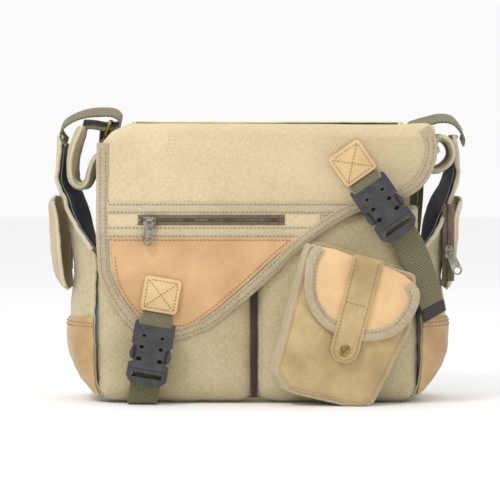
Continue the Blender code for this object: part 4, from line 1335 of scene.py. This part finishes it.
def puffed(obj, pressure=4.0, reach=1.6, cell=5.0):
    """The piece after its filling has pushed its cover out, by cloth simulation held within reach (mm)."""
    settle(obj)
    grid = obj.modifiers.new("Remesh", "REMESH")
    grid.mode = "VOXEL"
    grid.voxel_size = cell * MM * 0.55
    settle(obj)
    before = np.array([v.co for v in obj.data.vertices])
    cloth = obj.modifiers.new("Cloth", "CLOTH")
    cloth.settings.use_pressure = True
    cloth.settings.uniform_pressure_force = pressure
    cloth.settings.effector_weights.gravity = 0
    cloth.settings.quality = 6
    cloth.settings.tension_stiffness = 25
    cloth.settings.bending_stiffness = 4
    cloth.collision_settings.use_collision = False
    for frame_number in range(1, 21):
        bpy.context.scene.frame_set(frame_number)
    settle(obj)
    after = np.array([v.co for v in obj.data.vertices])
    shift = after - before
    far = np.maximum(np.linalg.norm(shift, axis=1, keepdims=True) / (reach * MM), 1.0)
    for vertex, place in zip(obj.data.vertices, before + shift / far):
        vertex.co = place
    smoother = obj.modifiers.new("Smooth", "SMOOTH")
    smoother.factor = 0.5
    smoother.iterations = 3
    settle(obj)
    bpy.context.scene.frame_set(1)
    return obj


def settle(obj):
    """Turn the mesh's modifiers into its shape."""
    graph = bpy.context.evaluated_depsgraph_get()
    mesh = bpy.data.meshes.new_from_object(obj.evaluated_get(graph), depsgraph=graph)
    obj.modifiers.clear()
    obj.data = mesh
    mesh.shade_smooth()


# ---------------------------------------------------------------- stage, camera and light
def stage():
    reach = 6000
    corners = [(x * reach, y * reach, 0) for x, y in ((-1, -1), (1, -1), (1, 1), (-1, 1))]
    floor = make_mesh("studio_floor", corners, [(0, 1, 2, 3)])
    floor.data.materials.append(new_material("floor", (0.93, 0.93, 0.93), 0.9)[0])
    world = bpy.data.worlds.new("studio")
    world.use_nodes = True
    world.node_tree.nodes["Background"].inputs["Color"].default_value = (1, 1, 1, 1)
    world.node_tree.nodes["Background"].inputs["Strength"].default_value = 0.96
    bpy.context.scene.world = world
    bpy.context.scene.view_settings.view_transform = "Standard"
    lamps = (
        ("key", (-800, -1100, 1500), 500, 13),
        ("fill", (1300, -1200, 600), 1000, 1),
        ("top", (100, 300, 1700), 900, 3),
    )
    for name, place, size, power in lamps:
        lamp = bpy.data.lights.new(name, "AREA")
        lamp.size = size * MM
        lamp.energy = power
        obj = bpy.data.objects.new(name, lamp)
        obj.location = at(*place)
        obj.rotation_euler = (at(0, 0, 140) - obj.location).to_track_quat("-Z", "Y").to_euler()
        bpy.context.scene.collection.objects.link(obj)


def camera():
    data = bpy.data.cameras.new("camera")
    distance = 2600.0
    data.sensor_width = 36
    data.lens = 36 * distance / 500
    obj = bpy.data.objects.new("camera", data)
    target = Vector((-8, -65, 155))
    tilt = math.radians(2.5)
    place = target + Vector((0, -math.cos(tilt), math.sin(tilt))) * distance
    obj.location = at(*place)
    obj.rotation_euler = (at(*target) - obj.location).to_track_quat("-Z", "Y").to_euler()
    data.clip_end = 50
    bpy.context.scene.collection.objects.link(obj)
    bpy.context.scene.camera = obj


# ---------------------------------------------------------------- build
flap_cloth()
flap_trim()
flap_zip()
patches()
for buckle in BUCKLES:
    buckle_pieces(buckle)
lower_webbing()
body_walls()
front_pockets()
side_pockets()
padded_ears()
accessory_pouch()
strap_loops()
rings()
shoulder_strap()
zip_hardware("flap_zip", -108, -69.8, 184, math.radians(-5), -1, level=True)
zip_hardware("right_zip", 193, -35, 152, math.radians(22), -1)
zip_hardware("left_zip", -199, 50, 175, 0.0, 1)
stage()
camera()
